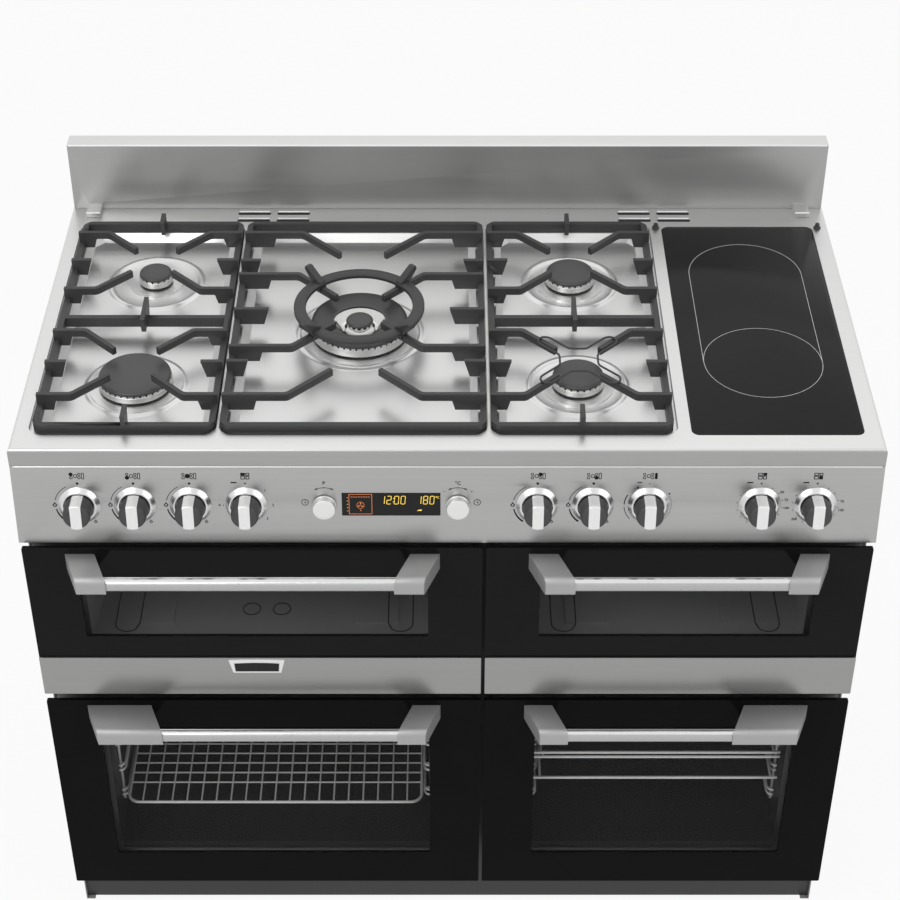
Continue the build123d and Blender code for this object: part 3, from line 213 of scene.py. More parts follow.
# A darker, rougher chrome for the lower half of the door bars: painted reflection
bar_painted_shade = polished("bar_painted_shade", 0.46, 0.30)
bezel_chrome = polished("bezel_chrome", 0.68, 0.26, 0.04, 0.004)
ceramic_black = black_glass("ceramic_black", (0.008, 0.008, 0.0085), 0.16, 0.03, 0.004, 0.16)
door_black = black_glass("door_black", grey(0.005), 0.10, 0.02, 0.003, 0.035)
upper_door_black = black_glass("upper_door_black", grey(0.006), 0.10, 0.02, 0.003, 0.09)
display_black = black_glass("display_black", grey(0.012), 0.22, 0.03, 0.004, 0.2)
bracket_satin = cast("bracket_satin", grey(0.42), 0.50, 0.03, 0.04, 0.05, 0.00003, 0.6)
knob_grip = cast("knob_grip", (0.046, 0.046, 0.047), 0.48, 0.08, 0.06, 0.10, 0.00003)
encoder_satin = cast("encoder_satin", (0.80, 0.80, 0.79), 0.34, 0.02, 0.04, 0.04, 0.00002, 0.6)
cast_iron = cast("cast_iron", (0.036, 0.036, 0.037), 0.48, 0.16, 0.08, 0.30, 0.00012)
cap_enamel = cast("cap_enamel", (0.060, 0.060, 0.061), 0.42, 0.08, 0.06, 0.12, 0.00004)
cast_aluminium = cast("cast_aluminium", (0.56, 0.56, 0.555), 0.42, 0.06, 0.06, 0.12, 0.00004, 1.0)
# Near-black: the dark enamel of the burner bases, and painted shade in the vent slots and in the burner
# and pilot hollows
soot_and_shade = cast("soot_and_shade", grey(0.012), 0.7, 0.2, 0.1, 0.1, 0.00005)
zone_print = cast("zone_print", grey(0.75), 0.4, 0.08, 0.05, 0.05, 0.00002)
black_paint = cast("black_paint", grey(0.020), 0.45, 0.12, 0.06, 0.10, 0.00005)
seal_rubber = cast("seal_rubber", (0.035, 0.035, 0.034), 0.75, 0.15, 0.08, 0.2, 0.0001)
black_plastic = cast("black_plastic", (0.022, 0.022, 0.023), 0.5, 0.12, 0.06, 0.15, 0.00005)
screw_steel = cast("screw_steel", (0.60, 0.60, 0.59), 0.28, 0.05, 0.06, 0.06, 0.00003, 1.0)
ink = cast("ink", grey(0.010), 0.6, 0.15, 0.06, 0.05, 0.00001, gloss=0.1)
knob_strip_steel = surface(
    "knob_strip_steel", (0.86, 0.86, 0.855), 0.40, ALONG_Z, 0.3, 0.03, 0.04, 0.02, 0.00001
)
bowl_aluminium = surface(
    "bowl_aluminium", (0.62, 0.62, 0.61), 0.14, COARSE, 1.0, 0.04, 0.05, 0.06, 0.00005
)
chrome_wire = surface("chrome_wire", (0.96, 0.96, 0.95), 0.22, COARSE, 0.2, 0.04, 0.05, 0.02, 0.00002)
casing_paint = surface("casing_paint", (0.30, 0.30, 0.305), 0.42, COARSE, 0.0, 0.03, 0.05, 0.08, 0.00006)
element_steel = surface("element_steel", (0.17, 0.16, 0.15), 0.45, COARSE, 1.0, 0.2, 0.1, 0.1, 0.00004)
brass = surface("brass", (0.72, 0.53, 0.26), 0.30, COARSE, 1.0, 0.08, 0.08, 0.08, 0.00004)
liner_steel = surface("liner_steel", (0.42, 0.42, 0.41), 0.36, ALONG_X, 1.0, 0.06, 0.06, 0.05, 0.00003)


def enamel_material(name, ground, speck, gloss):
    """Vitreous enamel with fine specks in its ground colour."""
    material, tree, shader = start_material(name)
    shader.inputs["Specular IOR Level"].default_value = gloss
    specks = two_tones(tree, object_cells(tree, 260.0)["Distance"], speck, ground, 0.05, 0.14)
    feed(shader, "Base Color", specks)
    wave = object_noise(tree, (40.0, 40.0, 40.0), 1.0)
    feed(shader, "Roughness", spread(tree, wave, 0.28, 0.34))
    bump(tree, shader, wave, 0.02, 0.0002)
    return material


def zinc_material():
    """Galvanised sheet with a spangle of crystals."""
    material, tree, shader = start_material("zinc_sheet")
    tone = add_node(tree, "ShaderNodeSeparateColor")
    feed(tone, "Color", object_cells(tree, 120.0)["Color"])
    crystals = two_tones(tree, tone.outputs["Red"], (0.44, 0.45, 0.46), (0.52, 0.53, 0.54), 0.0, 1.0)
    feed(shader, "Base Color", crystals)
    feed(shader, "Roughness", spread(tree, tone.outputs["Green"], 0.34, 0.50, 0.0, 1.0))
    shader.inputs["Metallic"].default_value = 1.0
    bump(tree, shader, tone.outputs["Blue"], 0.04, 0.00005)
    return material


def window_material(name, alpha):
    """Tinted glass that shows what is behind it."""
    material, tree, shader = start_material(name)
    smear = object_noise(tree, CLOUDY)
    feed(shader, "Base Color", two_tones(tree, smear, grey(0.010), (0.014, 0.014, 0.015)))
    feed(shader, "Roughness", spread(tree, smear, 0.05, 0.09))
    shader.inputs["Alpha"].default_value = alpha
    return material


def lit_material(name, colour, strength):
    """A lit display segment, a little uneven from its lamp."""
    material, tree, shader = start_material(name)
    tones = two_tones(tree, object_noise(tree, COARSE), shade(colour, 0.85), colour)
    feed(shader, "Base Color", tones)
    feed(shader, "Emission Color", tones)
    shader.inputs["Emission Strength"].default_value = strength
    shader.inputs["Roughness"].default_value = 0.4
    return material


oven_enamel = enamel_material("oven_enamel", (0.030, 0.029, 0.028), (0.09, 0.09, 0.088), 0.2)
grill_enamel = enamel_material("grill_enamel", grey(0.38), grey(0.46), 0.5)
zinc_sheet = zinc_material()
door_window = window_material("door_window", 0.08)
inner_window = window_material("inner_window", 0.03)
amber = lit_material("amber", (0.86, 0.60, 0.07), 0.62)
orange = lit_material("orange", (0.66, 0.20, 0.06), 0.45)


# Building helpers

def panel_matrix(x, up=0.0):
    """The control panel's face, with local x across, y up the face and z out of it, in millimetres."""
    rise, lean = math.cos(LEAN), math.sin(LEAN)
    y = HOB_FRONT - PANEL_LEAN / 2 + up * lean
    z = (PANEL_TOP + PANEL_BOTTOM) / 2 + up * rise
    return Matrix(((1, 0, 0, x), (0, lean, -rise, y), (0, rise, lean, z), (0, 0, 0, 1)))


def upright(x, y, z):
    return Matrix.Translation((x, y, z))


def turned_on(axis, degrees):
    return Matrix.Rotation(math.radians(degrees), 4, axis)


def facing_front(x, y, z):
    """Local z points to the front, local x across, local y up."""
    return upright(x, y, z) @ turned_on("X", 90)


def facing_rear(x, y, z):
    """Local z points to the rear."""
    return facing_front(x, y, z) @ turned_on("Y", 180)


def sharpen(bm, angle):
    """Smooth shading, broken where two faces meet at more than an angle."""
    for face in bm.faces:
        face.smooth = True
    for edge in bm.edges:
        edge.smooth = len(edge.link_faces) == 2 and edge.calc_face_angle(0.0) < math.radians(angle)


def add_piece(bm, name, material, body, angle=35.0):
    """A mesh in metres, riding on a body, from one built in millimetres."""
    bmesh.ops.recalc_face_normals(bm, faces=bm.faces)
    sharpen(bm, angle)
    bmesh.ops.scale(bm, vec=(MM, MM, MM), verts=bm.verts)
    mesh = bpy.data.meshes.new(name)
    bm.to_mesh(mesh)
    bm.free()
    mesh.materials.append(material)
    piece = bpy.data.objects.new(name, mesh)
    bpy.context.scene.collection.objects.link(piece)
    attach(piece, body)
    return piece


def stand_in(bm, node_name, material, angle=35.0):
    """A piece in place of a node, on the node's body."""
    piece = add_piece(bm, f"{node_name}_piece", material, body_of_node[node_name], angle)
    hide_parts(node_name)
    return piece


def ease(bm, edges, width, segments):
    """Rounds edges by a width."""
    bmesh.ops.bevel(
        bm,
        geom=edges,
        offset=width,
        offset_type="OFFSET",
        segments=segments,
        profile=0.5,
        affect="EDGES",
        clamp_overlap=True,
    )


def bevel_edges(bm, width, angle=30.0):
    """Rounds the edges where two faces meet at more than an angle."""
    inner = [edge for edge in bm.edges if len(edge.link_faces) == 2]
    ease(bm, [edge for edge in inner if edge.calc_face_angle(0.0) > math.radians(angle)], width, 2)


def round_corners(bm, width):
    """Rounds the upright edges between two faces that meet at about 45 degrees."""
    corners = []
    for edge in bm.edges:
        along = (edge.verts[1].co - edge.verts[0].co).normalized()
        if len(edge.link_faces) == 2 and abs(along.z) > 0.6:
            if 35 < math.degrees(edge.calc_face_angle(0.0)) < 55:
                corners.append(edge)
    ease(bm, corners, width, 3)


def add_box(bm, low, high, matrix=None):
    """A box between two corners."""
    low = Vector(low)
    high = Vector(high)
    made = bmesh.ops.create_cube(bm, size=1.0)["verts"]
    bmesh.ops.scale(bm, vec=high - low, verts=made)
    bmesh.ops.translate(bm, vec=(low + high) / 2, verts=made)
    if matrix is not None:
        bmesh.ops.transform(bm, matrix=matrix, verts=made)


def circle_points(radius, count=48, x=0.0, y=0.0):
    points = []
    for i in range(count):
        turn = 2 * math.pi * i / count
        points.append((x + radius * math.cos(turn), y + radius * math.sin(turn)))
    return points


def rounded_points(width, height, radius, x=0.0, y=0.0, steps=8):
    """The outline of a rounded rectangle."""
    points = []
    corners = ((1, 1, 0), (-1, 1, 90), (-1, -1, 180), (1, -1, 270))
    for side_x, side_y, start in corners:
        centre_x = x + side_x * (width / 2 - radius)
        centre_y = y + side_y * (height / 2 - radius)
        for i in range(steps + 1):
            turn = math.radians(start + 90 * i / steps)
            points.append((centre_x + radius * math.cos(turn), centre_y + radius * math.sin(turn)))
    return points


def set_ring(bm, points, height, matrix):
    """Points in local x and y, at a height along local z."""
    return [bm.verts.new(matrix @ Vector((x, y, height))) for x, y in points]


def join_rings(bm, rings, closed=False):
    """Faces from each ring of points to the next; a ring of one point is a tip."""
    count = max(len(ring) for ring in rings)
    pairs = list(zip(rings, rings[1:]))
    if closed:
        pairs.append((rings[-1], rings[0]))
    for first, second in pairs:
        for i in range(count):
            j = (i + 1) % count
            if len(first) == 1:
                bm.faces.new((first[0], second[j], second[i]))
            elif len(second) == 1:
                bm.faces.new((first[i], first[j], second[0]))
            else:
                bm.faces.new((first[i], first[j], second[j], second[i]))


def add_stack(bm, rings):
    """A shape through rings of points, with a flat face at each end."""
    join_rings(bm, rings)
    bm.faces.new(list(reversed(rings[0])))
    bm.faces.new(rings[-1])


def add_lathe(bm, profile, matrix, segments=64, closed=False):
    """A turned shape from (radius, height) points; it closes on the axis, or on itself as a ring."""
    rings = []
    for radius, height in profile:
        points = circle_points(radius, segments) if radius > 0 else [(0.0, 0.0)]
        rings.append(set_ring(bm, points, height, matrix))
    join_rings(bm, rings, closed)


def add_disc(bm, radius, low, high, matrix, segments):
    """A plain round solid between two heights."""
    add_lathe(bm, [(0.0, low), (radius, low), (radius, high), (0.0, high)], matrix, segments)


def add_prism(bm, outline, height, matrix):
    """An outline in local x and y, raised to a height along local z."""
    add_stack(bm, [set_ring(bm, outline, z, matrix) for z in (0.0, height)])


def add_band(bm, outer, inner, height, matrix):
    """The band between two outlines with the same number of points."""
    sections = ((outer, 0.0), (outer, height), (inner, height), (inner, 0.0))
    join_rings(bm, [set_ring(bm, outline, z, matrix) for outline, z in sections], closed=True)


def take_curve(bm, curve, matrix):
    """Adds a curve's mesh, and removes the curve."""
    holder = bpy.data.objects.new("curve", curve)
    bpy.context.scene.collection.objects.link(holder)
    graph = bpy.context.evaluated_depsgraph_get()
    mesh = bpy.data.meshes.new_from_object(holder.evaluated_get(graph))
    mesh.transform(matrix)
    bm.from_mesh(mesh)
    bpy.data.objects.remove(holder)
    bpy.data.curves.remove(curve)
    bpy.data.meshes.remove(mesh)


def add_tube(bm, points, radius, cyclic=False, sides=10):
    """A round wire through points, in millimetres."""
    curve = bpy.data.curves.new("wire", "CURVE")
    curve.dimensions = "3D"
    curve.bevel_depth = radius
    curve.bevel_resolution = sides // 4
    curve.use_fill_caps = not cyclic
    spline = curve.splines.new("NURBS")
    spline.points.add(len(points) - 1)
    for point, place in zip(spline.points, points):
        point.co = (*place, 1.0)
    spline.use_cyclic_u = cyclic
    spline.order_u = 3
    spline.use_endpoint_u = not cyclic
    spline.resolution_u = 6
    take_curve(bm, curve, Matrix())


def add_rod(bm, start, end, radius, sides=10):
    """A straight round wire between two points, in millimetres."""
    start = Vector(start)
    along = Vector(end) - start
    place = Matrix.Translation(start) @ along.to_track_quat("Z", "Y").to_matrix().to_4x4()
    add_disc(bm, radius, 0.0, along.length, place, sides)


def add_lip(bm, x, half, y, z, radius):
    """A round lip across the cooker, by its middle and half its length."""
    add_rod(bm, (x - half, y, z), (x + half, y, z), radius, 16)


def add_text(bm, text, size, x, y, matrix):
    """Raised print, centred on a point."""
    curve = bpy.data.curves.new("print", "FONT")
    curve.body = text
    curve.size = size
    curve.align_x = "CENTER"
    curve.align_y = "CENTER"
    curve.extrude = PRINT / 2
    curve.offset = 0.02 * size
    take_curve(bm, curve, matrix @ upright(x, y, PRINT / 2))


def node_mesh(node_name):
    """A copy of a node's mesh, in millimetres."""
    bm = bmesh.new()
    bm.from_mesh(frame["nodes"][node_name].data)
    bmesh.ops.scale(bm, vec=(1 / MM, 1 / MM, 1 / MM), verts=bm.verts)
    return bm


def soften(node_name, material, width, corner=0.0):
    """The node's own shape with its edges eased, in place of the node."""
    bm = node_mesh(node_name)
    bmesh.ops.remove_doubles(bm, verts=bm.verts, dist=0.001)
    bmesh.ops.dissolve_limit(bm, angle_limit=math.radians(0.4), verts=bm.verts, edges=bm.edges)
    if corner > 0:
        round_corners(bm, corner)
    if width > 0:
        bevel_edges(bm, width)
    return stand_in(bm, node_name, material, 30.0)


def refinish(piece, material, chosen):
    """Another finish on a piece's chosen faces."""
    piece.data.materials.append(material)
    for face in piece.data.polygons:
        if chosen(face):
            face.material_index = len(piece.data.materials) - 1


def shade_front_faces(piece, material, rear_limit):
    """Another material on the faces that look to the front, as far back as a limit: the darker steel of
    painted shade on the hob's and splashback's fronts.
    """
    refinish(piece, material, lambda face: face.normal.y < -0.7 and face.center.y < rear_limit * MM)


def dress(material, *node_names):
    """Nodes kept as they are, with their finish."""
    for node_name in node_names:
        materials = frame["nodes"][node_name].data.materials
        materials.clear()
        materials.append(material)


# Hob, splashback and panel
WELLS_HALF = 530.0
hob_piece = soften("hob_top", hob_steel, 0.0, corner=5.0)
# The hob's front faces get a darker steel than its top, a painted shade
shade_front_faces(hob_piece, apron_shaded_steel, HOB_FRONT + 3.0)
# The wells' walls that slope to the sides get the lighter copy of the steel, a painted highlight
refinish(
    hob_piece,
    painted_highlight_steel,
    lambda face: abs(face.normal.x) > 0.4 and abs(face.center.x) < WELLS_HALF * MM,
)
splash_piece = soften("splashback", hob_steel, 0.5)
# The splashback's front faces get a darker steel than its top, a painted shade
shade_front_faces(splash_piece, splash_shaded_steel, HOB_REAR)
soften("control_panel", panel_steel, 1.3)
soften("ceramic_glass", ceramic_black, 0.6)
PANEL_HALF = 546.0
# A round lip along the panel's top edge in the brighter hob steel: painted highlight on that edge
panel_edge_highlight = bmesh.new()
add_lip(panel_edge_highlight, 0.0, PANEL_HALF, HOB_FRONT + 0.4, PANEL_TOP - 0.8, 1.5)
add_piece(panel_edge_highlight, "panel_edge_highlight", hob_steel, "cooker", 50.0)

SPLASH_FRONT = HOB_REAR - 30.0
SPLASH_TOP = HOB_TOP + 105.0
SPLASH_HALF = 545.0
TAB_X = 516.0
TAB_HALF = 10.2
TAB_FRONT = SPLASH_FRONT - 26.0
TAB_TOP = HOB_TOP + 8.0
FOLD = 1.2
# Round folds along the splashback's top edge and the tabs, in the near-white steel: a real rounded edge
# with a painted highlight
splash_fold_highlight = bmesh.new()
add_lip(splash_fold_highlight, 0.0, SPLASH_HALF, SPLASH_FRONT + 0.6, SPLASH_TOP - FOLD, FOLD)
for x in (-TAB_X, TAB_X):
    add_lip(splash_fold_highlight, x, TAB_HALF, TAB_FRONT + 0.8, TAB_TOP - 0.7, FOLD)
add_piece(splash_fold_highlight, "splash_fold_highlight", fold_highlight_steel, "cooker", 50.0)

VENT_LENGTH = 47.0
VENT_WIDTH = 6.6
VENT_GROUPS = (-253.5, 300.0)
VENT_SPREAD = 28.5
VENT_ROWS = (275.4, 294.4)
VENT_SHADE_THICKNESS = 0.12
# Near-black strips laid over the vent slots: painted shade inside the slots
vent_shade = bmesh.new()
# A raised lip behind each slot, in the lighter steel: real louvre form with a painted highlight
louvre_highlights = bmesh.new()
for group in VENT_GROUPS:
    for x in (group - VENT_SPREAD, group + VENT_SPREAD):
        for y in VENT_ROWS:
            slot = rounded_points(VENT_LENGTH + 1.0, VENT_WIDTH, 3.2, x, y - 0.4)
            add_prism(vent_shade, slot, VENT_SHADE_THICKNESS, upright(0.0, 0.0, HOB_TOP))
            add_lip(louvre_highlights, x, VENT_LENGTH / 2 - 1.5, y + 4.6, HOB_TOP + 0.1, 1.7)
add_piece(vent_shade, "vent_painted_shade", soot_and_shade, "cooker")
add_piece(louvre_highlights, "vent_louvre_highlights", painted_highlight_steel, "cooker", 50.0)

BEAD_HALF = 5.5
BEAD_HEIGHT = 1.9
ROUND_BEAD = 63.0
RING_BEAD = 82.0


def hob_pressing(name, burner, bead_radius):
    """The pressed disc and bead round a burner."""
    x, y, radius = burner
    inner = radius - 3.5
    profile = [(inner, -0.2), (inner, 2.6), (radius + 4.0, 2.6), (radius + 7.0, 2.2)]
    profile += [(radius + 9.0, 1.0), (radius + 11.0, 0.4), (bead_radius - BEAD_HALF, 0.15)]
    for i in range(1, 13):
        share = i / 12
        height = 0.15 + BEAD_HEIGHT * max(0.0, math.sin(math.pi * share)) ** 1.3
        profile.append((bead_radius - BEAD_HALF + 2 * BEAD_HALF * share, height))
    edge = bead_radius + BEAD_HALF + 1.5
    profile += [(edge, 0.03), (edge, -0.2)]
    bm = bmesh.new()
    add_lathe(bm, profile, upright(x, y, WELL_FLOOR), 96, closed=True)
    add_piece(bm, f"pressing_{name}", hob_steel, "cooker", 60.0)


for burner_name, burner in ROUND_BURNERS.items():
    hob_pressing(burner_name, burner, ROUND_BEAD)
hob_pressing("ring", RING, RING_BEAD)

# Burners
PORT_PITCH = 8.2
PORT_WIDTH = 2.3
PORT_HEIGHT = 2.4


def add_head(bm, x, y, radius, top):
    """A cast head with a rounded foot and a crown of teeth between the flame ports."""
    crown = top - PORT_HEIGHT
    height = crown - HEAD_BOTTOM
    outer = radius + 1.2
    profile = [
        (radius - 6.0, height - 4.0),
        (radius - 6.0, 0.0),
        (outer - 0.8, 0.0),
        (outer, 0.8),
        (outer, height - 0.6),
        (outer - 0.6, height),
        (radius - 4.0, height),
    ]
    add_lathe(bm, profile, upright(x, y, HEAD_BOTTOM), 72, closed=True)
    ports = int(2 * math.pi * radius / PORT_PITCH)
    half = (2 * math.pi * radius / ports - PORT_WIDTH) / 2
    for i in range(ports):
        place = upright(x, y, crown) @ turned_on("Z", 360 * i / ports)
        add_box(bm, (radius - 4.0, -half, -0.2), (radius + 0.5, half, PORT_HEIGHT + 0.05), place)


heads = bmesh.new()
# Near-black discs filling each head's hollow: painted shade seen through the flame ports
throat_shade = bmesh.new()
for x, y, radius in ROUND_BURNERS.values():
    add_head(heads, x, y, radius, CAP_BOTTOM)
    throat_top = CAP_BOTTOM - HEAD_BOTTOM - 1.2
    add_disc(throat_shade, radius - 5.6, 0.0, throat_top, upright(x, y, HEAD_BOTTOM + 1.0), 48)
ring_x, ring_y, ring_radius = RING
RING_TOP = CAP_BOTTOM + RING_LIFT
add_head(heads, ring_x, ring_y, ring_radius, RING_TOP)
stand_in(heads, "burner_heads", cast_aluminium)
add_piece(throat_shade, "burner_throat_shade", soot_and_shade, "cooker")

PILOT_PORTS = 14
ring_foot = upright(ring_x, ring_y, HEAD_BOTTOM)
ring_bowl = bmesh.new()
bowl = [
    (0.0, 2.0), (22.0, 2.0), (26.0, 3.0), (33.0, 9.0), (37.0, 12.0), (58.0, 12.0), (58.0, 1.0),
    (0.0, 1.0),
]
add_lathe(ring_bowl, bowl, ring_foot, 72)
pilot = [(0.0, 2.1), (20.5, 2.1), (20.5, 6.0), (17.0, 8.0), (17.0, 10.5), (0.0, 10.5)]
add_lathe(ring_bowl, pilot, ring_foot, 48)
for i in range(PILOT_PORTS):
    place = upright(ring_x, ring_y, HEAD_BOTTOM + 10.3) @ turned_on("Z", 360 * i / PILOT_PORTS)
    add_box(ring_bowl, (12.0, -1.7, 0.0), (17.4, 1.7, 3.1), place)
add_piece(ring_bowl, "ring_burner_bowl", bowl_aluminium, "cooker")
# A near-black disc inside the pilot's port ring: painted shade seen through its ports
pilot_throat_shade = bmesh.new()
add_disc(pilot_throat_shade, 14.0, 10.4, 13.3, ring_foot, 32)
add_piece(pilot_throat_shade, "pilot_throat_shade", soot_and_shade, "cooker")

CAP_THICKNESS = 5.0
CAP_GAP = 0.05
PILOT_CAP = 18.3


def cap_profile(radius):
    """A cap with a rounded rim and a very slightly domed top."""
    return [
        (0.0, 0.0),
        (radius - 0.6, 0.0),
        (radius, 0.5),
        (radius, 1.8),
        (radius - 0.5, 2.9),
        (radius - 1.6, CAP_THICKNESS - 0.9),
        (radius - 3.2, CAP_THICKNESS - 0.35),
        (radius * 0.55, CAP_THICKNESS - 0.1),
        (0.0, CAP_THICKNESS),
    ]


caps = bmesh.new()
for x, y, radius in ROUND_BURNERS.values():
    add_lathe(caps, cap_profile(radius), upright(x, y, CAP_BOTTOM + CAP_GAP), 96)
ring_seat = upright(ring_x, ring_y, RING_TOP + CAP_GAP)
add_lathe(caps, cap_profile(PILOT_CAP), ring_seat, 64)
ring_profile = [
    (35.0, 0.0), (ring_radius - 0.6, 0.0), (ring_radius, 0.6), (ring_radius - 0.2, 2.6),
    (ring_radius - 1.4, 4.4), (ring_radius - 3.2, 4.9), (ring_radius - 7.0, 4.4), (50.0, 2.6),
    (40.0, 1.7), (36.0, 1.6), (35.0, 1.0),
]
add_lathe(caps, ring_profile, ring_seat, 96, closed=True)
stand_in(caps, "burner_caps", cap_enamel)
dress(soot_and_shade, "burner_bases")

# Pan supports, wok ring and trivet
for support in ("pan_support_left", "pan_support_centre", "pan_support_right"):
    soften(support, cast_iron, 1.1, corner=3.4)

WOK_BOTTOM = 923.0
WOK_RING = [
    (72.9, 0.0), (87.1, 0.0), (88.0, 0.9), (88.0, 5.1), (87.1, 6.0), (72.9, 6.0), (72.0, 5.1),
    (72.0, 0.9),
]
LUG = [(73.0, 0.0), (88.0, 0.0), (104.0, 17.5), (103.0, 22.5), (98.0, 23.0), (80.0, 11.0), (73.0, 8.0)]
LUG_HALF = 4.8
FOOT_HALF = 1.5
wok = bmesh.new()
wok_place = upright(ring_x, ring_y, WOK_BOTTOM)
for i in range(4):
    turned = wok_place @ turned_on("Z", 45 + 90 * i)
    on_edge = turned @ Matrix(((1, 0, 0, 0), (0, 0, 1, -LUG_HALF), (0, 1, 0, 0), (0, 0, 0, 1)))
    add_prism(wok, LUG, 2 * LUG_HALF, on_edge)
    for side in (-LUG_HALF, LUG_HALF):
        add_box(wok, (72.4, side - FOOT_HALF, -6.0), (87.6, side + FOOT_HALF, 0.5), turned)
bevel_edges(wok, 0.8)
add_lathe(wok, WOK_RING, wok_place, 96, closed=True)
stand_in(wok, "wok_ring", cast_iron, 50.0)

TRIVET_Z = 924.4
TRIVET_WIRE = 1.4
TRIVET_CORNER = [
    (0.0, 24.8), (9.0, 24.8), (13.0, 26.5), (17.0, 30.5), (31.5, 45.0), (37.0, 50.6), (45.6, 52.0),
    (52.0, 45.6), (50.6, 37.0), (45.0, 31.5), (30.5, 17.0), (26.5, 13.0), (24.8, 9.0),
]
trivet_x, trivet_y, _ = ROUND_BURNERS["front_medium"]
trivet = bmesh.new()
trivet_path = []
for i in range(4):
    place = upright(trivet_x, trivet_y, TRIVET_Z) @ turned_on("Z", -90 * i)
    trivet_path += [tuple(place @ Vector((u, v, 0.0))) for u, v in TRIVET_CORNER]
add_tube(trivet, trivet_path, TRIVET_WIRE, cyclic=True, sides=12)
stand_in(trivet, "wire_trivet", cast_iron, 60.0)

# Ceramic plate's printed cooking zones
ZONE_X = 416.4
FRONT_ZONE_Y = HOB_FRONT + 189.0
ZONE_LENGTH = 210.0
ZONE_RADIUS = 78.5
LINE = 0.6
ZONE_PRINT = 0.06


def stadium(radius, length, count=48):
    """A line up one side, round the far end and back."""
    points = [(radius, 0.0)]
    for i in range(count + 1):
        turn = math.pi * i / count
        points.append((radius * math.cos(turn), length + radius * math.sin(turn)))
    points.append((-radius, 0.0))
    return points


def add_line(bm, points, width, height, matrix):
    """A printed line of a width along points."""
    left = []
    right = []
    for i, point in enumerate(points):
        before = Vector(points[max(0, i - 1)])
        after = Vector(points[min(len(points) - 1, i + 1)])
        along = (after - before).normalized()
        across = Vector((-along.y, along.x)) * (width / 2)
        left.append(tuple(Vector(point) + across))
        right.append(tuple(Vector(point) - across))
    add_prism(bm, left + list(reversed(right)), height, matrix)


zones = bmesh.new()
plate = upright(ZONE_X, FRONT_ZONE_Y, HOB_TOP)
rim = circle_points(ZONE_RADIUS, 128)
add_band(zones, rim, circle_points(ZONE_RADIUS - LINE, 128), ZONE_PRINT, plate)
add_line(zones, stadium(ZONE_RADIUS, ZONE_LENGTH), LINE, ZONE_PRINT, plate)
add_piece(zones, "ceramic_zone_print", zone_print, "cooker")

# Knobs
big_knobs = [f"gas_knob_{i}" for i in range(1, 6)]
big_knobs += ["left_oven_knob", "hotplate_knob", "upper_right_oven_knob", "lower_right_oven_knob"]


def knob_place(node_name):
    """The panel's face at a knob's axis."""
    low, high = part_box(node_name)
    return panel_matrix((low.x + high.x) / 2 / MM)


GRIP = [
    (0.0, 5.0), (17.6, 5.0), (18.3, 5.8), (18.1, 14.0), (17.6, 24.0), (17.0, 28.0), (15.6, 30.2),
    (13.8, 31.0), (0.0, 31.0),
]
STRIP_HALF = 7.0
STRIP = [(5.4, 18.2), (6.0, 18.6), (14.0, 18.4), (24.0, 18.0), (29.8, 17.7), (30.8, 17.3), (31.5, 16.4)]


def strip_outline(radius):
    """The strip seen along the knob's axis: two straight sides and two round ends."""
    outline = []
    half_turn = math.asin(STRIP_HALF / radius)
    for end in (1, -1):
        for i in range(9):
            turn = half_turn * (1 - i / 4)
            outline.append((end * radius * math.sin(turn), end * radius * math.cos(turn)))
    return outline


def round_knob(node_name):
    """A dark turned grip with a bright pointer strip over its front and its two ends."""
    place = knob_place(node_name)
    body = body_of_node[node_name]
    bm = bmesh.new()
    add_lathe(bm, GRIP, place, 72)
    grip = add_piece(bm, f"{node_name}_grip", knob_grip, body, 40.0)
    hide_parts(node_name)
    bm = bmesh.new()
    add_stack(bm, [set_ring(bm, strip_outline(radius), height, place) for height, radius in STRIP])
    add_piece(bm, f"{node_name}_strip", knob_strip_steel, body, 28.0)


for knob in big_knobs:
    round_knob(knob)

BEZEL = [
    (19.4, 0.0), (26.5, 0.0), (26.6, 0.9), (25.9, 1.5), (23.2, 4.2), (21.6, 5.6), (20.6, 6.0),
    (19.7, 5.8), (19.4, 5.0),
]
bezels = bmesh.new()
for knob in big_knobs:
    add_lathe(bezels, BEZEL, knob_place(knob), 72, closed=True)
stand_in(bezels, "knob_bezels", bezel_chrome, 50.0)

ENCODER = [
    (0.0, 0.7), (14.9, 0.7), (15.2, 1.2), (15.1, 3.2), (14.6, 3.7), (14.6, 10.8), (14.0, 12.2),
    (12.6, 12.9), (8.0, 13.0), (0.0, 12.8),
]
for knob in ("programme_knob", "temperature_knob"):
    bm = bmesh.new()
    add_lathe(bm, ENCODER, knob_place(knob), 72)
    stand_in(bm, knob, encoder_satin, 40.0)

# Print on the control panel
PRINT = 0.12
ICON_UP = 43.4
DOT_UP = 32.3
ICON_LINE = 0.95
HOTPLATE = 5
print_mesh = bmesh.new()


def add_arc(bm, radius, start, stop, first_width, last_width, matrix, steps=24):
    """An arc whose width changes along its length."""
    outer = []
    inner = []
    for i in range(steps + 1):
        share = i / steps
        turn = math.radians(start + (stop - start) * share)
        half = (first_width + (last_width - first_width) * share) / 2
        outer.append(((radius + half) * math.cos(turn), (radius + half) * math.sin(turn)))
        inner.append(((radius - half) * math.cos(turn), (radius - half) * math.sin(turn)))
    add_prism(bm, outer + list(reversed(inner)), PRINT, matrix)


def add_dot(bm, x, y, radius, matrix):
    add_prism(bm, circle_points(radius, 24, x, y), PRINT, matrix)


def add_dash(bm, x, y, width, height, matrix, corner=0.2, steps=2):
    """A short bar with rounded corners."""
    add_prism(bm, rounded_points(width, height, corner, x, y, steps), PRINT, matrix)


def add_ring(bm, x, y, radius, width, matrix):
    inner = circle_points(radius - width, 32, x, y)
    add_band(bm, circle_points(radius, 32, x, y), inner, PRINT, matrix)


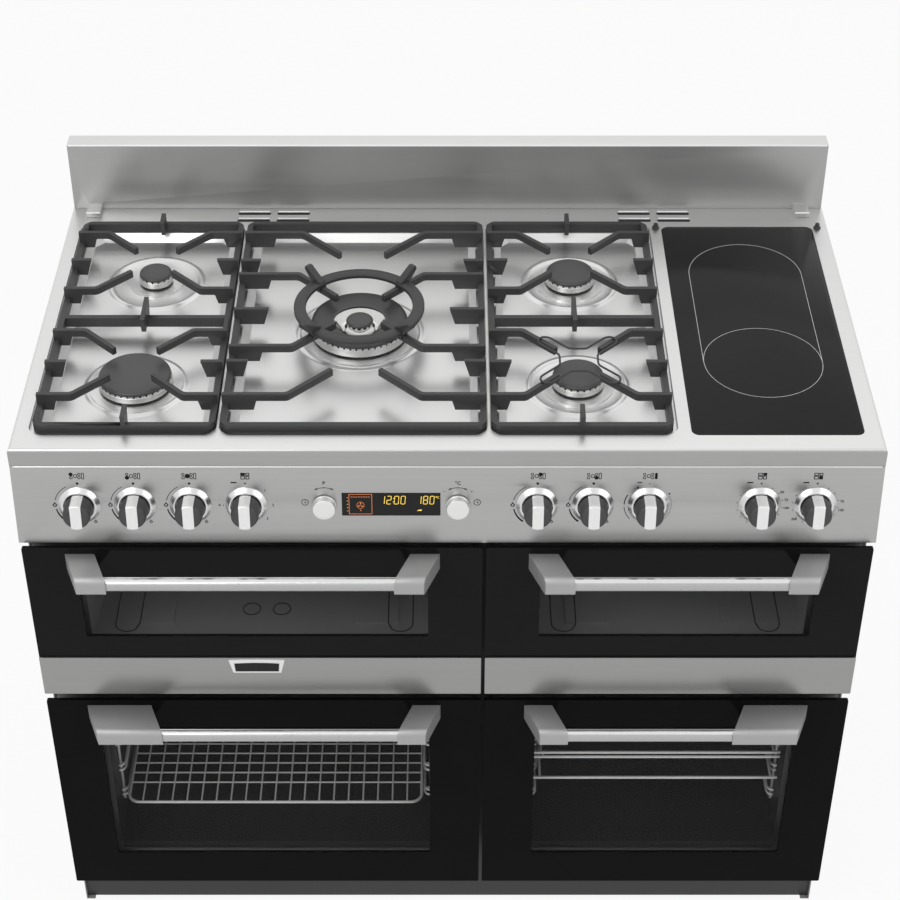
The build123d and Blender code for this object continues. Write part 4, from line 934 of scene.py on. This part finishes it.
def add_frame(bm, x, y, width, height, line, matrix, corner=0.5):
    outer = rounded_points(width, height, corner, x, y, 3)
    inner = rounded_points(width - 2 * line, height - 2 * line, corner / 2, x, y, 3)
    add_band(bm, outer, inner, PRINT, matrix)


def add_flame(bm, x, y, size, matrix, count=24):
    """A flame outline, drawn as a drop with a hollow."""
    outer = []
    inner = []
    for i in range(count):
        turn = 2 * math.pi * i / count
        upper = max(0.0, math.sin(turn))
        across = math.cos(turn) * (1 - 0.75 * upper)
        up = math.sin(turn) * (1.0 + 0.35 * upper ** 2)
        outer.append((x + size * 0.55 * across, y + size * 0.55 * up))
        inner.append((x + size * 0.28 * across, y + size * (0.28 * up - 0.06)))
    add_band(bm, outer, inner, PRINT, matrix)


def burner_icon(bm, filled, matrix):
    """The hob seen from above, with one place filled in."""
    burners = [(-7.0, 2.5, 2.0), (-7.0, -2.5, 2.2), (-1.6, 0.0, 2.7), (3.2, 2.5, 2.1), (3.2, -2.5, 2.1)]
    for i, (x, y, radius) in enumerate(burners):
        if i == filled:
            add_dot(bm, x, ICON_UP + y, radius + 0.6, matrix)
        else:
            add_ring(bm, x, ICON_UP + y, radius, ICON_LINE, matrix)
    if filled == HOTPLATE:
        add_dash(bm, 7.8, ICON_UP, 3.4, 9.4, matrix, 1.5, 4)
    else:
        add_frame(bm, 7.8, ICON_UP, 3.8, 9.6, ICON_LINE, matrix, 1.5)


def oven_icon(bm, filled, matrix):
    """The four ovens seen from the front, with one filled in."""
    ovens = [(-2.4, 2.6, 5.8, 4.0), (-2.4, -2.4, 5.8, 4.8), (3.5, 2.6, 4.6, 4.0), (3.5, -2.4, 4.6, 4.8)]
    for i, (x, y, width, height) in enumerate(ovens):
        add_frame(bm, x, ICON_UP + y, width + 0.2, height + 0.2, 1.05, matrix)
        if i == filled:
            add_dash(bm, x, ICON_UP + y, width - 0.9, height - 0.9, matrix, 0.4)


for i in range(5):
    place = knob_place(f"gas_knob_{i + 1}")
    burner_icon(print_mesh, i, place)
    add_dot(print_mesh, 0.0, DOT_UP, 1.7, place)
    add_arc(print_mesh, 31.0, 118, 166, 0.7, 0.9, place)
    add_flame(print_mesh, -31.2, 0.6, 5.4, place)
    add_arc(print_mesh, 30.2, 191, 234, 1.5, 2.4, place)
    add_flame(print_mesh, 18.6, -24.6, 4.0, place)

place = knob_place("hotplate_knob")
burner_icon(print_mesh, HOTPLATE, place)
add_dash(print_mesh, -12.5, DOT_UP + 1.6, 6.0, 1.3, place, 0.4, 3)
add_dot(print_mesh, 0.0, DOT_UP, 0.8, place)
add_arc(print_mesh, 30.6, 118, 128, 0.5, 0.5, place)
add_arc(print_mesh, 31.0, 150, 178, 1.3, 1.3, place)
add_arc(print_mesh, 31.0, 184, 222, 0.9, 0.9, place)
add_arc(print_mesh, 29.0, -50, 30, 0.4, 0.4, place)
add_dash(print_mesh, -14.4, 26.2, 1.8, 3.2, place, 0.6, 3)
add_dot(print_mesh, 25.6, 17.0, 1.2, place)


def oven_print(bm, knob, filled, marks, numbers):
    """Icon, stop mark and scale of an oven knob; marks and numbers are placed by their angle."""
    place = knob_place(knob)
    oven_icon(bm, filled, place)
    add_dash(bm, -14.4, DOT_UP + 1.4, 7.6, 1.7, place, 0.4, 3)
    add_dot(bm, 0.0, DOT_UP, 1.15, place)
    for angle in marks:
        turn = math.radians(angle)
        add_dot(bm, 29.0 * math.cos(turn), 29.0 * math.sin(turn), 0.7, place)
    for angle, text in numbers:
        turn = math.radians(angle)
        add_text(bm, text, 5.0, 34.0 * math.cos(turn), 31.5 * math.sin(turn), place)


right_marks = [60 - 22.5 * i for i in range(13)]
left_numbers = ((44, "1"), (0, "2"), (-40, "3"), (180, "4"))
upper_numbers = ((38, "50"), (14, "75"), (-8, "100"))
lower_numbers = ((10, "75"), (-14, "100"), (222, "200"))
oven_print(print_mesh, "left_oven_knob", 0, (180, -90), left_numbers)
oven_print(print_mesh, "upper_right_oven_knob", 2, right_marks, upper_numbers)
oven_print(print_mesh, "lower_right_oven_knob", 3, right_marks, lower_numbers)

ENCODER_ARC = 26.0
CLOCK_OUT = 24.5
for knob, letter, outward in (("programme_knob", "P", -1), ("temperature_knob", "°C", 1)):
    place = knob_place(knob)
    add_arc(print_mesh, ENCODER_ARC, 63, 117, 0.7, 0.7, place)
    add_dot(print_mesh, 0.0, ENCODER_ARC, 0.7, place)
    for side in (-1, 1):
        turn = math.radians(90 - side * 27)
        tip_x, tip_y = ENCODER_ARC * math.cos(turn), ENCODER_ARC * math.sin(turn)
        back = (tip_x - side * 3.0, tip_y + 2.6)
        low = (tip_x - side * 3.6, tip_y + 0.2)
        add_prism(print_mesh, [(tip_x + side * 0.8, tip_y - 0.6), back, low][::side], PRINT, place)
    add_text(print_mesh, letter, 7.0, 0.0, 32.6, place)
    clock = outward * CLOCK_OUT
    add_ring(print_mesh, clock, 4.2, 4.6, 0.8, place)
    add_dash(print_mesh, clock, 4.8, 0.8, 3.4, place)
    add_dash(print_mesh, clock + 0.9, 3.4, 2.4, 0.8, place)
place = knob_place("temperature_knob")
for x, width, height in ((-17.5, 2.6, 0.5), (17.5, 2.6, 0.5), (17.5, 0.5, 2.6)):
    add_dash(print_mesh, x, 20.5, width, height, place)
add_piece(print_mesh, "panel_print", ink, "cooker")

# Display: dark window with lit segments
dress(display_black, "display_window")
DISPLAY_X = -71.4
DISPLAY_UP = 1.3
DISPLAY_WIDTH = 125.0
DISPLAY_HEIGHT = 34.0
display = panel_matrix(DISPLAY_X, DISPLAY_UP) @ upright(-DISPLAY_WIDTH / 2, -DISPLAY_HEIGHT / 2, 0.0)
SEGMENTS = {"0": "abcdef", "1": "bc", "2": "abged", "8": "abcdefg"}
DIGIT_UP = 17.0
DIGIT_HEIGHT = 12.6
DIGIT_LINE = 0.95
DIGIT_SLANT = 0.08


def add_digit(bm, digit, x, width, matrix):
    """A seven-segment digit with its left side at a place."""
    height, line = DIGIT_HEIGHT, DIGIT_LINE
    half = height / 2
    gap = line * 0.35
    end = gap + line / 2
    bars = {
        "a": (end, height - line, width - end, height),
        "b": (width - line, half + gap, width, height - end),
        "c": (width - line, end, width, half - gap),
        "d": (end, 0.0, width - end, line),
        "e": (0.0, end, line, half - gap),
        "f": (0.0, half + gap, line, height - end),
        "g": (end, half - line / 2, width - end, half + line / 2),
    }
    for segment in SEGMENTS[digit]:
        x0, y0, x1, y1 = bars[segment]
        corners = [(x0, y0), (x1, y0), (x1, y1), (x0, y1)]
        add_prism(bm, [(x + u + DIGIT_SLANT * v, DIGIT_UP + v) for u, v in corners], PRINT, matrix)


digits = bmesh.new()
for digit, x in zip("1200", (48.0, 56.3, 65.8, 74.1)):
    add_digit(digits, digit, x, 6.2, display)
add_dot(digits, 65.2, 20.6, 0.6, display)
add_dot(digits, 65.8, 25.6, 0.6, display)
for digit, x in zip("180", (94.5, 102.7, 110.9)):
    add_digit(digits, digit, x, 6.0, display)
add_ring(digits, 119.8, 28.0, 1.1, 0.5, display)
add_arc(digits, 1.3, 50, 310, 0.5, 0.5, display @ upright(122.6, 27.4, 0.0))
add_prism(digits, [(95.0, 7.2), (101.0, 7.2), (101.4, 9.4), (97.5, 8.8)], PRINT, display)
for i in range(5):
    add_dash(digits, 7.2, 7.0 + 5.0 * i, 1.3, 0.6, display)
add_piece(digits, "display_digits", amber, "cooker")

SYMBOL_X = 23.6
FAN_UP = 15.6
symbol = bmesh.new()
add_frame(symbol, SYMBOL_X, 17.2, 29.6, 30.0, 0.65, display, 0.6)
for i in range(8):
    add_dash(symbol, 12.6 + 3.1 * i, 28.0, 2.4, 0.8, display)
add_ring(symbol, SYMBOL_X, FAN_UP, 5.0, 0.5, display)
for i in range(3):
    blade = display @ upright(SYMBOL_X, FAN_UP, 0.0) @ turned_on("Z", 120 * i + 90)
    add_prism(symbol, [(0.4, -0.3), (2.4, -1.1), (4.0, -0.6), (4.0, 0.4), (1.8, 0.6)], PRINT, blade)
add_dot(symbol, 23.8, 8.0, 0.9, display)
add_piece(symbol, "display_symbol", orange, "cooker")

# Doors
INNER_BACK = -254.0
PANE = 4.0
OVERLAP = 14.0
GLASS_CORNER = 2.5


def lowered_liner(name, window_bottom, drop):
    """The door's inner tray with the lower edge of its window set lower, in place of the node."""
    node = f"{name}_liner"
    bm = node_mesh(node)
    for vert in bm.verts:
        if abs(vert.co.z - window_bottom) < 0.2 and vert.co.y > INNER_BACK - PANE / 2:
            vert.co.z -= drop
    stand_in(bm, node, liner_steel, 30.0)


def box_outline(x0, x1, z0, z1):
    """A pane's outline with slightly rounded corners."""
    return rounded_points(x1 - x0, z1 - z0, GLASS_CORNER, (x0 + x1) / 2, (z0 + z1) / 2, 4)


def door_glass(name, border_finish, window_rise, window_drop, left_margin, right_margin, liner_drop):
    """Black bordered outer glass with a clear window, and the inner pane behind it."""
    low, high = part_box(f"{name}_glass")
    x0, x1 = low.x / MM, high.x / MM
    z0, z1 = low.z / MM, high.z / MM
    wx0, wx1 = x0 + left_margin, x1 - right_margin
    wz0, wz1 = z0 + window_rise, z1 - window_drop
    place = facing_front(0.0, GLASS_BACK, 0.0)
    window = box_outline(wx0, wx1, wz0, wz1)
    bm = bmesh.new()
    add_band(bm, box_outline(x0, x1, z0, z1), window, GLASS_BACK - GLASS_FRONT, place)
    border = add_piece(bm, f"{name}_border", border_finish, name)
    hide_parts(f"{name}_glass")
    bm = bmesh.new()
    add_prism(bm, window, GLASS_BACK - GLASS_FRONT, place)
    add_piece(bm, f"{name}_window", door_window, name)
    bm = bmesh.new()
    pane_low = (wx0 - OVERLAP, INNER_BACK - PANE, wz0 - liner_drop - 8.0)
    add_box(bm, pane_low, (wx1 + OVERLAP, INNER_BACK, wz1 + OVERLAP))
    bevel_edges(bm, 0.3)
    add_piece(bm, f"{name}_inner_pane", inner_window, name)
    lowered_liner(name, wz0, liner_drop)


OUTER_MARGIN = 67.5
MIDDLE_MARGIN = 71.0
door_glass("grill_door", upper_door_black, 104.0, 54.0, OUTER_MARGIN, MIDDLE_MARGIN, 35.0)
door_glass("small_oven_door", upper_door_black, 104.0, 54.0, MIDDLE_MARGIN, OUTER_MARGIN, 35.0)
door_glass("main_oven_door", door_black, 62.0, 56.0, OUTER_MARGIN, MIDDLE_MARGIN, 28.0)
door_glass("tall_oven_door", door_black, 62.0, 56.0, MIDDLE_MARGIN, OUTER_MARGIN, 28.0)

BRACKET = 38.0
WIDE_BRACKET = 87.0
BRACKET_SLANT = 14.0
BAR_REACH = 40.0
BAR_DROP = 15.5
BAR_RADIUS = 9.8
# Faces of a bar that face further down than this, and not to the rear, are a darker grey: painted
# reflection, the darker lower half of a polished bar
PAINTED_SHADE_SLOPE = 0.66


def door_handle(door, left_bracket, right_bracket):
    """A polished bar over the bar of the handle's own solid, with a painted darker reflection on its
    lower half.
    """
    low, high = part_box(f"{door}_handle")
    soften(f"{door}_handle", bracket_satin, 0.6)
    left = low.x / MM + left_bracket + BRACKET_SLANT
    right = high.x / MM - right_bracket - BRACKET_SLANT
    across = upright(left, GLASS_FRONT - BAR_REACH, high.z / MM - BAR_DROP) @ turned_on("Y", 90)
    bar = bmesh.new()
    add_disc(bar, BAR_RADIUS, 0.0, right - left, across, 48)
    piece = add_piece(bar, f"{door}_bar", chrome, door, 40.0)
    refinish(piece, bar_painted_shade, lambda face: face.normal.z < PAINTED_SHADE_SLOPE and face.normal.y < 0.2)


door_handle("grill_door", BRACKET, BRACKET)
door_handle("small_oven_door", BRACKET, BRACKET)
door_handle("main_oven_door", WIDE_BRACKET, BRACKET)
door_handle("tall_oven_door", BRACKET, WIDE_BRACKET)
for door in ("grill_door", "small_oven_door"):
    soften(f"{door}_strip", strip_steel, 0.8)

# Ovens
dress(grill_enamel, "upper_oven_cavities")
dress(oven_enamel, "lower_oven_cavities")
dress(black_paint, "front_frame", "base_tray")
dress(seal_rubber, "door_seals")
dress(element_steel, "heating_elements")
dress(chrome_wire, "oven_fan")
dress(zinc_sheet, "fan_motor")

LEFT_OVEN = (-482.5, -22.8)
RIGHT_OVEN = (117.8, 482.5)
RACK_LEVEL = 217.0
RACK_PITCH = 52.0
RACK_FRONT = -234.0
RACK_REAR = 140.0
RACK_SIDE_GAP = 13.0
RACK_CORNER = 16.0
LONG_PITCH = 21.0
CROSS_PITCH = 19.3
RIM_WIRE = 2.2
MESH_WIRE = 1.2
TRAY_REACH = 9.0
LOW_RAIL = 9.0


def even_places(low, high, pitch):
    """Places between two ends, evenly spread at about a pitch."""
    count = max(1, round((high - low) / pitch))
    return [low + (high - low) * i / count for i in range(1, count)]


def rack_edges(span, level):
    """Left, right, front and rear of a shelf's rim, and its height."""
    left = span[0] + RACK_SIDE_GAP + RIM_WIRE
    right = span[1] - RACK_SIDE_GAP - RIM_WIRE
    height = RACK_LEVEL + RACK_PITCH * level + RIM_WIRE
    return left, right, RACK_FRONT + RIM_WIRE, RACK_REAR - RIM_WIRE, height


def add_rack(bm, span, level):
    """A wire shelf: a bent rim, cross wires in its plane and a row of long wires on top."""
    left, right, front, rear, z = rack_edges(span, level)
    middle = ((left + right) / 2, (front + rear) / 2)
    rim_line = rounded_points(right - left, rear - front, RACK_CORNER, *middle, 6)
    add_tube(bm, [(x, y, z) for x, y in rim_line], RIM_WIRE, cyclic=True, sides=12)
    for y in even_places(front + CROSS_PITCH, rear, CROSS_PITCH):
        add_rod(bm, (left, y, z), (right, y, z), MESH_WIRE)
    top = z + RIM_WIRE + 0.6
    for x in even_places(left, right, LONG_PITCH):
        add_rod(bm, (x, front - RIM_WIRE, top), (x, rear, top), MESH_WIRE)


def add_tray(rims, pans, span, level):
    """A dark flat tray between two bright side wires, with a straight rail at its front."""
    left, right, front, rear, z = rack_edges(span, level)
    add_box(pans, (left + 1.0, front + 1.0, z - 1.0), (right - 1.0, rear - 1.0, z + 0.6))
    add_lip(rims, (left + right) / 2, (right - left) / 2 + TRAY_REACH, front, z, RIM_WIRE)
    for x in (left, right):
        add_rod(rims, (x, front, z), (x, rear, z), RIM_WIRE)


def add_low_rail(rims, span, level):
    """One more rail, below a tray's front."""
    left, right, front, _, z = rack_edges(span, level)
    low = z - LOW_RAIL
    add_lip(rims, (left + right) / 2, (right - left) / 2 + TRAY_REACH, front, low, RIM_WIRE)
    for x in (left + 4.0, right - 4.0):
        add_rod(rims, (x, front, low), (x, front + 12.0, z), MESH_WIRE)


racks = bmesh.new()
trays = bmesh.new()
add_rack(racks, LEFT_OVEN, 0)
add_tray(racks, trays, RIGHT_OVEN, 1)
add_tray(racks, trays, RIGHT_OVEN, 2)
add_low_rail(racks, RIGHT_OVEN, 2)
add_piece(trays, "oven_trays", oven_enamel, "cooker")
stand_in(racks, "oven_racks", chrome_wire, 60.0)

RUNNER_FRONT = -204.0
RUNNER_REAR = 142.0
RUNNER_LOW = 184.0
RUNNER_HIGH = 418.0
RUNNER_LEVELS = 4
RUNNER_OUT = 11.0
WALL_GAP = 2.4
POST_INSET = 14.0
POST_WIRE = 2.2
RAIL_WIRE = 1.8
TIE_WIRE = 1.6
RAIL_BEND = 20.0
RAIL_DROPS = (2.2, 12.0)


def add_runner(bm, wall, inward):
    """A wire ladder on an oven wall, with a bent rail under each shelf level."""
    post_x = wall + inward * WALL_GAP
    rail_x = wall + inward * RUNNER_OUT
    posts = (RUNNER_FRONT + POST_INSET, RUNNER_REAR - POST_INSET)
    corners = [(post_x, RUNNER_FRONT), (rail_x, RUNNER_FRONT), (rail_x, RUNNER_FRONT + RAIL_BEND)]
    corners += [(rail_x, RUNNER_REAR - RAIL_BEND), (rail_x, RUNNER_REAR), (post_x, RUNNER_REAR)]
    for y in posts:
        add_rod(bm, (post_x, y, RUNNER_LOW), (post_x, y, RUNNER_HIGH), POST_WIRE)
    for level in range(RUNNER_LEVELS):
        for drop in RAIL_DROPS:
            z = RACK_LEVEL + RACK_PITCH * level - drop
            add_tube(bm, [(x, y, z) for x, y in corners], RAIL_WIRE)
        for y in posts:
            add_rod(bm, (post_x, y, z), (rail_x, y, z), TIE_WIRE)


runners = bmesh.new()
for span in (LEFT_OVEN, RIGHT_OVEN):
    add_runner(runners, span[0], 1)
    add_runner(runners, span[1], -1)
stand_in(runners, "rack_runners", chrome_wire, 60.0)

UPPER_FLOOR = 544.0
EMBOSS_MARGIN = 42.0
PRESSING_HEIGHT = 3.0
PRESSING_EDGE = 45.0
PRESSING_HALF = 170.0
OVEN_MIDDLE = -41.0
SLOT_WIDTH = 34.0
SLOT_LENGTH = 350.0
SLOT_CORNER = 16.9
SLOT_LINE = 0.9
HOLE_X = (-272.0, -230.3)
HOLE_Y = -170.0
HOLE_RADIUS = 12.0
HOLE_LINE = 0.8


def floor_level(x, y, span):
    """The height of an upper oven's floor, raised where it is pressed."""
    inset = min(x - span[0], span[1] - x)
    raised = inset > PRESSING_EDGE and abs(y - OVEN_MIDDLE) < PRESSING_HALF
    return UPPER_FLOOR + (PRESSING_HEIGHT if raised else 0.0)


# Raised beads round the pressings and holes of the upper ovens' floors, in the dark oven enamel: real
# bead form with painted shade lines along those edges
shade_lines = bmesh.new()
for span in (LEFT_OVEN, RIGHT_OVEN):
    for x in (span[0] + EMBOSS_MARGIN, span[1] - EMBOSS_MARGIN):
        line = rounded_points(SLOT_WIDTH, SLOT_LENGTH, SLOT_CORNER, x, OVEN_MIDDLE, 8)
        path = [(u, v, floor_level(u, v, span)) for u, v in line]
        add_tube(shade_lines, path, SLOT_LINE, cyclic=True, sides=8)
for x in HOLE_X:
    line = circle_points(HOLE_RADIUS, 24, x, HOLE_Y)
    add_tube(shade_lines, [(u, v, UPPER_FLOOR) for u, v in line], HOLE_LINE, cyclic=True, sides=8)
add_piece(shade_lines, "oven_floor_shade_lines", oven_enamel, "cooker", 60.0)

# Small fittings on the hob and the trim strip
PEG = [
    (0.0, 0.0), (5.2, 0.0), (5.2, 1.8), (3.0, 3.0), (2.6, 4.2), (3.4, 5.6), (3.2, 7.0), (1.8, 8.2),
    (0.0, 8.6),
]
PEG_X = (300.5, 534.0)
PEG_Y = HOB_FRONT + 522.0
pegs = bmesh.new()
for x in PEG_X:
    add_lathe(pegs, PEG, upright(x, PEG_Y, HOB_TOP), 24)
add_piece(pegs, "hob_pegs", black_plastic, "cooker", 60.0)

STRIP_FRONT = GLASS_FRONT - 3.0
PLATE_X = -255.7
PLATE_Z = 551.2


def strip_plate(name, material, foot, bottom, shoulder, top, crown, height, edge):
    """A plate on the left trim strip, with a slightly arched top, by half its widths."""
    steps = 10
    outline = [(-foot, bottom), (foot, bottom)]
    for i in range(steps, -1, -1):
        share = i / steps
        outline.append((shoulder * (2 * share - 1), top + crown * math.sin(math.pi * share)))
    bm = bmesh.new()
    add_prism(bm, outline, height, facing_front(PLATE_X, STRIP_FRONT, PLATE_Z))
    bevel_edges(bm, edge, 25.0)
    add_piece(bm, name, material, "grill_door", 40.0)


strip_plate(
    "trim_plate_frame", knob_strip_steel,
    foot=32.0, bottom=-11.5, shoulder=37.5, top=11.0, crown=1.6, height=1.8, edge=0.6,
)
strip_plate(
    "trim_plate_field", display_black,
    foot=29.0, bottom=-8.6, shoulder=30.0, top=5.4, crown=1.2, height=2.4, edge=0.3,
)

# Screws on the back and on the terminal cover
BACK_FACE = 308.7
TERMINAL_FACE = 330.7
SCREW = [(0.0, 0.0), (3.8, 0.0), (3.6, 1.1), (2.6, 1.9), (1.0, 2.2), (0.0, 2.2)]
screws = bmesh.new()


def add_screw(bm, x, y, z):
    """A pan head screw in a rear face, with a raised cross on its head."""
    place = facing_rear(x, y, z)
    add_lathe(bm, SCREW, place, 20)
    for turn in (20, 110):
        add_box(bm, (-2.0, -0.35, 2.0), (2.0, 0.35, 2.35), place @ turned_on("Z", turn))


for x in (-530.0, -265.0, 0.0, 265.0, 530.0):
    for z in (884.0, 108.0):
        add_screw(screws, x, BACK_FACE, z)
for x in (-535.0, 535.0):
    for z in (300.0, 500.0, 700.0):
        add_screw(screws, x, BACK_FACE, z)
for x in (330.0, 430.0):
    for z in (265.0, 335.0):
        add_screw(screws, x, TERMINAL_FACE, z)
add_piece(screws, "back_screws", screw_steel, "cooker", 35.0)

# Casing
dress(casing_paint, "side_panel_left", "side_panel_right")
back_piece = soften("back_panel", zinc_sheet, 0.0)
refinish(back_piece, black_plastic, lambda face: face.center.y > (BACK_FACE + 1.0) * MM)
dress(black_plastic, "feet", "rotary_switches")
dress(brass, "gas_manifold", *(f"gas_spindle_{i}" for i in range(1, 6)))

# Stage
FLOOR_HALF = 9.0
floor_mesh = bpy.data.meshes.new("floor")
floor_corners = [(x * FLOOR_HALF, y * FLOOR_HALF, 0) for x, y in ((-1, -1), (1, -1), (1, 1), (-1, 1))]
floor_mesh.from_pydata(floor_corners, [], [(0, 1, 2, 3)])
floor = bpy.data.objects.new("floor", floor_mesh)
bpy.context.scene.collection.objects.link(floor)


def seen_or_lit(tree):
    """1 for what the camera, a reflection or a window shows, 0 for light on other things."""
    path = add_node(tree, "ShaderNodeLightPath")
    seen = path.outputs["Is Camera Ray"]
    for ray in ("Is Glossy Ray", "Is Transmission Ray"):
        either = add_node(tree, "ShaderNodeMath")
        either.operation = "MAXIMUM"
        feed(either, 0, seen)
        feed(either, 1, path.outputs[ray])
        seen = either.outputs["Value"]
    return seen


WHITE = (1.0, 1.0, 1.0, 1.0)
FLOOR_GLOW = 0.90
floor_material, floor_tree, floor_shader = start_material("floor_white")
floor_grain = object_noise(floor_tree, (3.0, 3.0, 3.0))
feed(floor_shader, "Base Color", two_tones(floor_tree, floor_grain, grey(0.90), grey(0.93)))
floor_shader.inputs["Roughness"].default_value = 0.8
glow = add_node(floor_tree, "ShaderNodeEmission", Color=WHITE, Strength=1.0)
share = add_node(floor_tree, "ShaderNodeMath")
share.operation = "MULTIPLY"
share.inputs[1].default_value = FLOOR_GLOW
blend = add_node(floor_tree, "ShaderNodeMixShader")
feed(share, 0, seen_or_lit(floor_tree))
feed(blend, "Fac", share.outputs["Value"])
feed(blend, 1, floor_shader.outputs["BSDF"])
feed(blend, 2, glow.outputs["Emission"])
feed(floor_tree.nodes["Material Output"], "Surface", blend.outputs["Shader"])
floor_mesh.materials.append(floor_material)

WORLD_LIGHT = 0.55
world = bpy.data.worlds.new("studio")
bpy.context.scene.world = world
world.use_nodes = True
sky = world.node_tree
background = sky.nodes["Background"]
background.inputs["Color"].default_value = WHITE
level = add_node(sky, "ShaderNodeMapRange", To_Min=WORLD_LIGHT, To_Max=1.0)
feed(level, "Value", seen_or_lit(sky))
feed(background, "Strength", level.outputs["Result"])


def softbox(name, place, target, width, height, power):
    lamp = bpy.data.lights.new(name, "AREA")
    lamp.shape = "RECTANGLE"
    lamp.size = width
    lamp.size_y = height
    lamp.energy = power
    holder = bpy.data.objects.new(name, lamp)
    holder.location = place
    aim = Vector(target) - Vector(place)
    holder.rotation_euler = aim.to_track_quat("-Z", "Y").to_euler()
    bpy.context.scene.collection.objects.link(holder)


softbox("key", (-1.8, -2.4, 3.4), (0.0, 0.0, 0.8), 2.0, 2.0, 42)
softbox("fill", (2.6, -2.0, 2.6), (0.0, 0.0, 0.7), 2.0, 2.0, 22)
softbox("rear_top", (0.0, 1.9, 3.5), (0.0, 0.0, 0.9), 3.4, 1.6, 6)

camera = bpy.data.cameras.new("camera")
camera.sensor_fit = "HORIZONTAL"
camera.sensor_width = 36.0
camera.lens = 82.65
camera.clip_end = 60.0
camera_holder = bpy.data.objects.new("camera", camera)
camera_holder.location = (0.0033, -2.2985, 2.486)
camera_holder.rotation_euler = (math.radians(52.02), 0.0, 0.0)
bpy.context.scene.collection.objects.link(camera_holder)
bpy.context.scene.camera = camera_holder
bpy.context.scene.view_settings.view_transform = "Standard"
